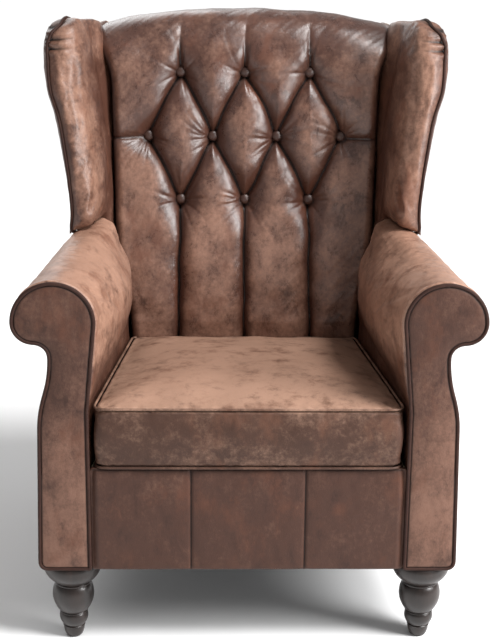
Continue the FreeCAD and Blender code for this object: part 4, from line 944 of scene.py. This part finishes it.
def makeWings():
    sources = ("left_wing_cover", "left_wing_pad", "left_outside_wing_panel", "left_wing_board")
    wing = softBlank("left_wing_leather", sources, wings["voxel"], rounding=34)
    places = shapeWing(spots(wing))
    setSpots(wing, places)
    low = places[:, 2].min()
    outside = easeIn(outward(wing)[:, 0] * 2 - 0.8)
    rear = easeIn((places[:, 1] - (faceY + 0.60)) / 0.05)
    foot = 1 - easeIn((places[:, 2] - low) / 0.03)
    held = np.maximum(np.maximum(rear, foot), outside)
    setSpots(wing, places - outward(wing) * ((1 - held) * 0.002)[:, None])
    puff(wing, wings["pressure"], wings["cap"], held)
    subdivide(wing)
    places = spots(wing)
    normal = outward(wing)
    ripple = 0.0011 * waves(places, 0.08, 31) + 0.0004 * waves(places, 0.024, 32)
    facing = easeIn((faceY + 0.66 - places[:, 1]) / 0.12) * easeIn(0.8 - normal[:, 0])
    relief = ripple * (0.35 + 0.65 * facing)
    dark = np.zeros(len(places))
    pleated = easeIn((faceY + 0.62 - places[:, 1]) / 0.05) * easeIn((0.97 - normal[:, 0]) / 0.2)
    for start, end in wings["pleats"]:
        gap, along = toLine(places[:, (0, 2)], start, end)
        strength = (1 - along * 0.85) * easeIn(along / 0.12 + 0.25) * pleated
        relief += wings["pleatDepth"] * strength * (0.6 * np.exp(-((gap - 0.008) / 0.005) ** 2)
                                                    - np.exp(-(gap / wings["pleatWidth"]) ** 1.2))
        # painted shade in each pleat
        dark = np.maximum(dark, strength ** 0.6 * np.exp(-(gap / 0.0026) ** 2))
    # gathers where the wing stands on the arm
    gather = waves(places * (1, 1, 0.12), 0.02, 33) * np.exp(-(places[:, 2] - 0.672) / 0.028)
    relief += 0.0022 * np.clip(gather, -1, 1) * facing
    setSpots(wing, places + normal * relief[:, None])
    places = spots(wing)
    # a dark welt runs up the outer front edge and over the corner
    faces = [tuple(face.vertices) for face in wing.data.polygons]
    tree = BVHTree.FromPolygons([tuple(place) for place in places], faces)
    heights = np.linspace(wings["weltLow"], 1.05, 70)
    route = []
    for height in heights:
        row = places[(np.abs(places[:, 2] - height) < 0.004) & (places[:, 1] < faceY + 0.62)]
        edge = row[np.argmax(row[:, 0] - 0.9 * row[:, 1])]
        route.append((edge[0], edge[1], height))
    route = np.array(route)
    for _ in range(6):
        route[1:-1] = (route[:-2] + 2 * route[1:-1] + route[2:]) / 4
    over = [(0.396, faceY + 0.512, 1.066), (0.389, faceY + 0.524, 1.082), (0.376, faceY + 0.545, 1.095),
            (0.362, faceY + 0.575, 1.1), (0.358, faceY + 0.64, 1.095), (0.362, faceY + 0.74, 1.06)]
    route = np.vstack([route, over])
    spread = np.concatenate([[0], np.cumsum(np.linalg.norm(np.diff(route, axis=0), axis=1))])
    marks = np.linspace(0, spread[-1], 160)
    route = np.column_stack([np.interp(marks, spread, route[:, axis]) for axis in range(3)])
    for _ in range(12):
        route[1:-1] = (route[:-2] + 2 * route[1:-1] + route[2:]) / 4
    settled = []
    for spot in route:
        found, normalThere, _, _ = tree.find_nearest(Vector(spot))
        settled.append(found + normalThere * wings["welt"] * 0.45)
    settled = np.array([tuple(spot) for spot in settled])
    for _ in range(4):
        settled[1:-1] = (settled[:-2] + 2 * settled[1:-1] + settled[2:]) / 4
    welt = pipingLine("left_wing_welt", settled, wings["welt"], False)
    ring = BVHTree.FromObject(welt, bpy.context.evaluated_depsgraph_get())
    near = np.where(places[:, 0] > 0.33)[0]
    beside = np.ones(len(places))
    beside[near] = nearest(ring, places[near])
    # painted shade in the pleats and in the seam beside the welt
    paint(wing, "fold", np.maximum(dark, 0.8 * np.exp(-(beside / 0.0018) ** 2)))
    # paler at the top and the front, not on the outer side: partly wear, partly painted light
    rub = 0.35 * easeIn((places[:, 2] - 0.95) / 0.15) + 0.42 * easeIn((faceY + 0.56 - places[:, 1]) / 0.08)
    paint(wing, "rub", rub * easeIn(0.9 - normal[:, 0]))
    other = mirroredPiece(wing, "right_wing_leather")
    otherWelt = mirroredPiece(welt, "right_wing_welt")
    for side, piece, line in (("left", wing, welt), ("right", other, otherWelt)):
        replaced = (f"{side}_wing_cover", f"{side}_wing_pad", f"{side}_outside_wing_panel")
        finishPiece(piece, "wornLeather", "chair", replaced)
        finishPiece(line, "pipingLeather", "chair", (f"{side}_wing_piping",))


makeWings()
print("wings made")

facings = {
    "voxel": 0.004, "puff": 0.0045, "reach": 0.035, "welt": 0.0034, "weltBehind": 0.0065,
    "inset": 0.0032, "thickness": 0.012,
}


def frontOutline(name):
    # the outline of a CAD node's front face, in order, as (across, up)
    copy = cadCopy("outline", name)
    bm = bmesh.new()
    bm.from_mesh(copy.data)
    bm.normal_update()
    front = [face for face in bm.faces if face.normal.y < -0.99]
    lowest = min(face.calc_center_median().y for face in front)
    front = {face for face in front if face.calc_center_median().y < lowest + 0.001}
    follow = {}
    for face in front:
        for loop in face.loops:
            if sum(other in front for other in loop.edge.link_faces) == 1:
                follow[loop.vert] = loop.link_loop_next.vert
    start = max(follow, key=lambda vertex: vertex.co.z)
    outline, at = [], start
    while True:
        outline.append((at.co.x, at.co.z))
        at = follow[at]
        if at == start:
            break
    bm.free()
    bpy.data.objects.remove(copy)
    return np.array(outline)


def evenly(outline, pitch):
    # the same closed outline with a point every pitch
    closed = np.vstack([outline, outline[:1]])
    spread = np.concatenate([[0], np.cumsum(np.linalg.norm(np.diff(closed, axis=0), axis=1))])
    marks = np.linspace(0, spread[-1], int(spread[-1] / pitch), endpoint=False)
    return np.column_stack([np.interp(marks, spread, closed[:, axis]) for axis in range(2)])


def inside(outline, inset):
    # the outline moved in by inset, with its corners eased
    smooth = outline.copy()
    for _ in range(3):
        smooth = (np.roll(smooth, 1, 0) + 2 * smooth + np.roll(smooth, -1, 0)) / 4
    along = np.roll(smooth, -1, 0) - np.roll(smooth, 1, 0)
    along /= np.linalg.norm(along, axis=1)[:, None]
    area = np.sum(smooth[:, 0] * np.roll(smooth[:, 1], -1) - np.roll(smooth[:, 0], -1) * smooth[:, 1])
    inward = np.column_stack([-along[:, 1], along[:, 0]]) * np.sign(area)
    return smooth + inward * inset


def makeFacings():
    outline = evenly(frontOutline("left_arm_facing"), 0.003)
    ring = inside(outline, facings["inset"])
    weltY = faceY + facings["weltBehind"]
    welt = pipingLine("left_facing_welt", [(x, weltY, z) for x, z in ring], facings["welt"], True)
    panel = inside(outline, facings["inset"] * 1.2)
    count = len(panel)
    frontRing = [(x, faceY + 0.005, z) for x, z in panel]
    backRing = [(x, faceY + 0.005 + facings["thickness"] * 1.15, z) for x, z in panel]
    around = list(range(count))
    walls = [(a, count + a, count + (a + 1) % count, (a + 1) % count) for a in around]
    mesh = bpy.data.meshes.new("left_facing_leather")
    mesh.from_pydata(frontRing + backRing, [], walls + [around, [count + a for a in reversed(around)]])
    facing = newPiece("left_facing_leather", mesh)
    faceOutward(facing)
    evenQuads(facing, facings["voxel"], 3)
    subdivide(facing)
    places = spots(facing)
    frontFace = easeIn((places[:, 1].min() + 0.004 - places[:, 1]) / 0.003)
    tree = BVHTree.FromObject(welt, bpy.context.evaluated_depsgraph_get())
    level = np.column_stack([places[:, 0], np.full(len(places), weltY), places[:, 2]])
    away = nearest(tree, level)
    swell = facings["puff"] * np.sqrt(np.clip(1 - (1 - np.clip(away / facings["reach"], 0, 1)) ** 2, 0, 1))
    ripple = 0.0009 * waves(places, 0.07, 41) + 0.0003 * waves(places, 0.02, 42)
    places[:, 1] -= frontFace * (swell + ripple * easeIn(away / 0.02) - 0.0005)
    setSpots(facing, places)
    # painted shade in the seam beside the welt
    paint(facing, "fold", 0.85 * np.exp(-(away / 0.0022) ** 2) * frontFace)
    # paler towards the bottom
    low = easeIn((0.56 - places[:, 2]) / 0.2)
    paint(facing, "rub", 0.12 + 0.4 * low)
    other = mirroredPiece(facing, "right_facing_leather")
    otherWelt = mirroredPiece(welt, "right_facing_welt")
    for side, piece, line in (("left", facing, welt), ("right", other, otherWelt)):
        finishPiece(piece, "shadedFrontLeather", "chair", (f"{side}_arm_facing",))
        finishPiece(line, "pipingLeather", "chair", (f"{side}_facing_piping",))


makeFacings()
print("facings made")


# seat cushion

cushion = {
    "voxel": 0.005, "pressure": 4.0, "cap": 0.006, "holdReach": 0.014, "seamDepth": 0.0022,
    "depth": 0.538, "front": 0.2785, "rear": 0.2335, "side": 0.116, "sideRear": 0.100,
    "corner": 0.030, "crown": 0.030, "bulge": 0.0065, "frontBulge": 0.013, "welt": 0.0023, "slope": 3.5,
}


def cushionPlan(count):
    # the cushion's outline seen from above, with its corners rounded, as (across, depth)
    shape = cushion
    corners = np.array([(shape["front"], 0.0), (shape["rear"], shape["depth"]),
                        (-shape["rear"], shape["depth"]), (-shape["front"], 0.0)])
    outline = []
    for corner, before, after in zip(corners, np.roll(corners, 1, 0), np.roll(corners, -1, 0)):
        radius = shape["corner"] if corner[1] == 0 else shape["corner"] * 0.4
        start = corner + (before - corner) / np.linalg.norm(before - corner) * radius
        end = corner + (after - corner) / np.linalg.norm(after - corner) * radius
        for share in np.linspace(0, 1, 12):
            outline.append((1 - share) ** 2 * start + 2 * share * (1 - share) * corner + share ** 2 * end)
    return evenly(np.array(outline), 4 * shape["front"] / count)


def onDeck(local):
    # from the cushion's own flat frame to its place on the sloping deck
    slope = math.radians(cushion["slope"])
    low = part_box("cushion_cover")[0]
    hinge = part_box("deck_cover")[1].z + 0.0003
    x, depth, height = local[:, 0], local[:, 1], local[:, 2]
    y = low.y + depth * math.cos(slope) + height * math.sin(slope)
    z = hinge - (depth + 0.006) * math.sin(slope) + height * math.cos(slope)
    return np.column_stack([x, y, z])


def cushionSide(depth):
    return cushion["side"] + (cushion["sideRear"] - cushion["side"]) * depth / cushion["depth"]


def makeCushion():
    shape = cushion
    plan = cushionPlan(420)
    count = len(plan)
    middle = np.array((0, shape["depth"] / 2))
    tall = cushionSide(plan[:, 1])
    rearward = easeIn((plan[:, 1] - 0.49) / 0.03)
    outwards = plan - middle
    outwards /= np.linalg.norm(outwards, axis=1)[:, None]
    rings = []
    # underneath, up the boxing, then over the crown
    for share in np.linspace(0.05, 0.99, 18):
        rings.append(np.column_stack([middle + (plan - middle) * share, np.full(count, 0.0012)]))
    for share in np.linspace(0, 1, 24):
        frontward = easeIn(1 - plan[:, 1] / 0.03)
        most = shape["bulge"] + (shape["frontBulge"] - shape["bulge"]) * frontward
        out = most * math.sin(math.pi * share) ** 0.7 * (1 - rearward)
        rings.append(np.column_stack([plan + outwards * out[:, None], 0.0025 + share * (tall - 0.005)]))
    for share in np.linspace(0.99, 0.05, 44):
        flat = middle + (plan - middle) * share
        inwards = 1 - share
        rise = shape["crown"] * (1 - (1 - min(1, inwards / 0.75)) ** 2.6) * np.ones(count)
        rings.append(np.column_stack([flat, cushionSide(flat[:, 1]) - 0.0025 + rise]))
    places = onDeck(np.vstack(rings))
    around = np.arange(count)
    following = np.roll(around, -1)
    quads = np.vstack([np.column_stack([level * count + around, level * count + following,
                                        (level + 1) * count + following, (level + 1) * count + around])
                       for level in range(len(rings) - 1)])
    last = (len(rings) - 1) * count
    mesh = bpy.data.meshes.new("cushion_leather")
    mesh.from_pydata(places.tolist(), [],
                     quads.tolist() + [around[::-1].tolist(), (last + around).tolist()])
    seat = newPiece("cushion_leather", mesh)
    faceOutward(seat)
    evenQuads(seat, shape["voxel"], 4)
    keepOutside(seat)
    welts = []
    for name, height in (("lower", np.full(count, 0.0027)), ("upper", tall - 0.0027)):
        line = onDeck(np.column_stack([plan + outwards * 0.0012, height]))
        welts.append(pipingLine(f"cushion_welt_{name}", line, shape["welt"], True))
    trees = [BVHTree.FromObject(welt, bpy.context.evaluated_depsgraph_get()) for welt in welts]

    def toWelt(spread):
        return np.minimum(nearest(trees[0], spread), nearest(trees[1], spread))

    places = spots(seat)
    held = 1 - easeIn((toWelt(places) - 0.003) / shape["holdReach"])
    held = np.maximum(held, easeIn((places[:, 1] - places[:, 1].max() + 0.014) / 0.006))
    setSpots(seat, places - outward(seat) * ((1 - held) * 0.003)[:, None])
    puff(seat, shape["pressure"], shape["cap"], held)
    subdivide(seat)
    places = spots(seat)
    away = toWelt(places)
    normal = outward(seat)
    top = easeIn(normal[:, 2] * 2 - 0.6)
    edge = easeIn(away / 0.03)
    rearFace = easeIn((places[:, 1] - places[:, 1].max() + 0.012) / 0.006)
    # slack leather: broad dips, and creases that run in from the front corners
    dips = 0.0019 * waves(places, 0.13, 52) + 0.0006 * waves(places * (0.6, 1.3, 1), 0.04, 53)
    relief = edge * dips * top
    relief += edge * (1 - top) * (1 - rearFace) * 0.0011 * waves(places, 0.09, 54)
    corner = np.hypot(np.abs(places[:, 0]) - 0.27, places[:, 1] - places[:, 1].min())
    fan = np.sin(np.arctan2(places[:, 1] - places[:, 1].min(), 0.285 - np.abs(places[:, 0])) * 11)
    reach = np.exp(-corner / 0.05) * easeIn((corner - 0.01) / 0.02)
    relief -= top * 0.0016 * np.clip(fan, 0, 1) ** 2 * reach
    gather = waves(places * (1, 0.35, 1), 0.014, 51) * np.exp(-away / 0.02) * easeIn(away / 0.004)
    relief += 0.0007 * gather * (1 - rearFace)
    relief -= shape["seamDepth"] * np.exp(-((away - 0.001) / 0.003) ** 2)
    setSpots(seat, places + normal * relief[:, None])
    # painted shade in the seams beside the welts
    paint(seat, "fold", 0.7 * np.exp(-(away / 0.002) ** 2))
    # paler on the upward faces: partly wear, partly painted light
    paint(seat, "rub", top * (0.85 - 0.25 * easeIn((places[:, 1] - 0.0) / 0.15)) + 0.05 * (1 - top))
    replaced = ("cushion_cover", "cushion_foam")
    finishPiece(seat, "cushionLeather", "seat_cushion", replaced)
    # the upper welt is painted paler than the lower one: painted light on the top welt
    for welt, pale in zip(welts, (0.0, 0.4)):
        paint(welt, "rub", np.full(len(welt.data.vertices), pale))
    finishPiece(welts[0], "cushionLeather", "seat_cushion", ("cushion_piping",))
    finishPiece(welts[1], "cushionLeather", "seat_cushion")


makeCushion()
print("seat cushion made")


# turned front legs

legs = {
    # each bead from the top down: height and radius at its top, the same at its foot, how far it swells
    "beads": ((0.158, 0.0485, 0.1155, 0.0325, 0.0110), (0.1145, 0.0335, 0.1115, 0.0335, 0.0005),
              (0.1105, 0.0325, 0.0545, 0.0255, 0.0095), (0.0535, 0.0260, 0.0515, 0.0260, 0.0005),
              (0.0505, 0.0245, 0.0245, 0.0195, 0.0045), (0.0235, 0.0205, 0.0215, 0.0205, 0.0004),
              (0.0205, 0.0195, 0.003, 0.0155, 0.0012)),
    "steps": 72, "points": 22,
}


def makeLegs():
    profile = [(0.0, 0.158)]
    for high, radius, low, foot, swell in legs["beads"]:
        for share in np.linspace(0, 1, legs["points"]):
            out = swell * math.sin(math.pi * share) ** 0.75
            profile.append((radius + (foot - radius) * share + out, high + (low - high) * share))
    profile.append((0.0, 0.003))
    mesh = bpy.data.meshes.new("left_turned_leg")
    mesh.from_pydata([(x, 0, z) for x, z in profile], [(n, n + 1) for n in range(len(profile) - 1)], [])
    leg = newPiece("left_turned_leg", mesh)
    lathe = leg.modifiers.new("lathe", "SCREW")
    lathe.steps = legs["steps"]
    lathe.render_steps = legs["steps"]
    lathe.use_merge_vertices = True
    lathe.merge_threshold = 0.00001
    applyModifiers(leg)
    faceOutward(leg)
    low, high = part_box("left_front_leg")
    leg.location = ((low.x + high.x) / 2, (low.y + high.y) / 2, 0)
    pick(leg)
    bpy.ops.object.transform_apply(location=True, rotation=True, scale=True)
    other = mirroredPiece(leg, "right_turned_leg")
    for side, piece in (("left", leg), ("right", other)):
        finishPiece(piece, "legWood", "chair", (f"{side}_front_leg",), angle=40)


makeLegs()
print("front legs made")


# outside covers, stretched flat and tacked at their edges

panels = {
    "neckFront": 0.573, "neckRear": 0.611, "reach": 0.541, "armSwell": 0.0035, "backSwell": 0.005,
    "thickness": 0.0022, "deckFront": 0.2832, "deckRear": 0.2378, "margin": 0.002,
}


def sheetOver(name, source, aim, starts, counts, relief):
    # a thin cover on a CAD panel: a ray from each start finds the panel's face, relief lifts the leather
    tree = BVHTree.FromObject(nodes[source], bpy.context.evaluated_depsgraph_get())
    aim = Vector(aim)
    face = []
    for start in starts:
        found = tree.ray_cast(Vector(start), aim)[0] or tree.find_nearest(Vector(start) + aim * 0.3)[0]
        face.append(tuple(found))
    face = np.array(face)
    outer = face - np.outer(relief, aim)
    inner = face + np.array(aim) * panels["thickness"]
    rows, columns = counts
    quads, rim = gridFaces(rows, columns)
    following = np.roll(rim, -1)
    total = rows * columns
    walls = np.column_stack([following, rim, rim + total, following + total])
    mesh = bpy.data.meshes.new(name)
    mesh.from_pydata(np.vstack([outer, inner]).tolist(), [],
                     quads.tolist() + (quads[:, ::-1] + total).tolist() + walls.tolist())
    piece = newPiece(name, mesh)
    faceOutward(piece)
    return piece


def spread(rows, columns):
    # even shares up and across a sheet, as two flat lists
    first, last = panels["margin"], 1 - panels["margin"]
    up, across = np.meshgrid(np.linspace(first, last, rows), np.linspace(first, last, columns),
                             indexing="ij")
    return up.ravel(), across.ravel()


def swollen(up, across, height, width, swell, seed, places):
    # the lift of a stretched cover, and its shade: held down along the edges, full in the middle
    rim = np.minimum(np.minimum(up, 1 - up) * height, np.minimum(across, 1 - across) * width)
    lift = swell * (1 - np.exp(-rim / 0.02)) + 0.001 * waves(places, 0.12, seed) * easeIn(rim / 0.03)
    return lift, 0.7 * np.exp(-(rim / 0.0025) ** 2)


def makeOutsideArms():
    rows, columns = 120, 190
    up, across = spread(rows, columns)
    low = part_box("left_outside_arm_panel")[0]
    backLow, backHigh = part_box("outside_back_panel")
    rake = (backHigh.y - backLow.y - 0.003) / (backHigh.z - backLow.z)
    y, z = np.full(len(up), low.y), low.z + 0.3 * up
    for _ in range(4):
        y = low.y + across * (backLow.y + rake * (z - backLow.z) - 0.001 - low.y)
        neck = panels["neckFront"] + (panels["neckRear"] - panels["neckFront"]) * np.clip(
            (y - low.y) / panels["reach"], 0, 1)
        z = low.z + up * (neck - low.z)
    starts = np.column_stack([np.full(len(y), 0.6), y, z])
    lift, shade = swollen(up, across, 0.43, 0.74, panels["armSwell"], 71, starts)
    piece = sheetOver("left_outside_arm_leather", "left_outside_arm_panel", (-1, 0, 0), starts,
                      (rows, columns), lift)
    paint(piece, "fold", np.concatenate([shade, shade]))
    other = mirroredPiece(piece, "right_outside_arm_leather")
    for side, sheet in (("left", piece), ("right", other)):
        finishPiece(sheet, "wornLeather", "chair", (f"{side}_outside_arm_panel",), angle=50)


def makeOutsideBack():
    rows, columns = 200, 150
    up, across = spread(rows, columns)
    low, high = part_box("outside_back_panel")
    starts = np.column_stack([low.x + across * (high.x - low.x), np.full(len(up), 1.0),
                              low.z + up * (high.z - low.z)])
    lift, shade = swollen(up, across, 0.86, 0.63, panels["backSwell"], 72, starts * (1, 0, 1))
    piece = sheetOver("outside_back_leather", "outside_back_panel", (0, -1, 0), starts,
                      (rows, columns), lift)
    paint(piece, "fold", np.concatenate([shade, shade]))
    finishPiece(piece, "wornLeather", "chair", ("outside_back_panel",), angle=50)


def makeDeck():
    rows, columns = 110, 110
    up, across = spread(rows, columns)
    low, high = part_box("deck_cover")
    half = panels["deckFront"] + (panels["deckRear"] - panels["deckFront"]) * up
    starts = np.column_stack([(2 * across - 1) * half, low.y + up * (high.y - low.y), np.ones(len(up))])
    # the cloth sinks a little between its edges, under the cushion
    sag = -0.0008 - 0.0006 * waves(starts, 0.05, 73)
    piece = sheetOver("deck_cloth", "deck_cover", (0, 0, -1), starts, (rows, columns), np.minimum(sag, 0))
    finishPiece(piece, "deckCloth", "chair", ("deck_cover",), angle=50)


makeOutsideArms()
makeOutsideBack()
makeDeck()
print("outside covers and deck made")


# front border

border = {"voxel": 0.004, "puff": 0.0025, "seam": 0.104, "tuck": 0.0035}


def makeBorder():
    sheet = softBlank("front_border_leather", ("front_border_cover", "front_border_pad"), border["voxel"])
    subdivide(sheet)
    places = spots(sheet)
    low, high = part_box("front_border_cover")
    frontFace = easeIn((low.y + 0.004 - places[:, 1]) / 0.003)
    gap = np.minimum(np.abs(places[:, 0] - border["seam"]), np.abs(places[:, 0] + border["seam"]))
    swell = border["puff"] * (1 - np.exp(-gap / 0.012))
    crease = 0.003 * np.exp(-(gap / 0.0022) ** 2)
    ripple = 0.0008 * waves(places, 0.08, 61) + 0.0003 * waves(places, 0.02, 62)
    under = high.z - places[:, 2]
    places[:, 1] -= frontFace * (swell + ripple - crease - 0.005 * np.exp(-under / 0.02))
    # its ends tuck in behind the facings
    ends = easeIn((np.abs(places[:, 0]) - 0.272) / 0.01)
    places[:, 0] += np.sign(places[:, 0]) * ends * border["tuck"]
    places[:, 1] += frontFace * ends * 0.006
    setSpots(sheet, places)
    shade = np.maximum(0.8 * np.exp(-(gap / 0.0016) ** 2), 0.9 * np.exp(-(under / 0.005) ** 2))
    paint(sheet, "fold", frontFace * shade)
    replaced = ("front_border_cover", "front_border_pad")
    finishPiece(sheet, "shadedFrontLeather", "chair", replaced)


makeBorder()
print("front border made")


print("done")
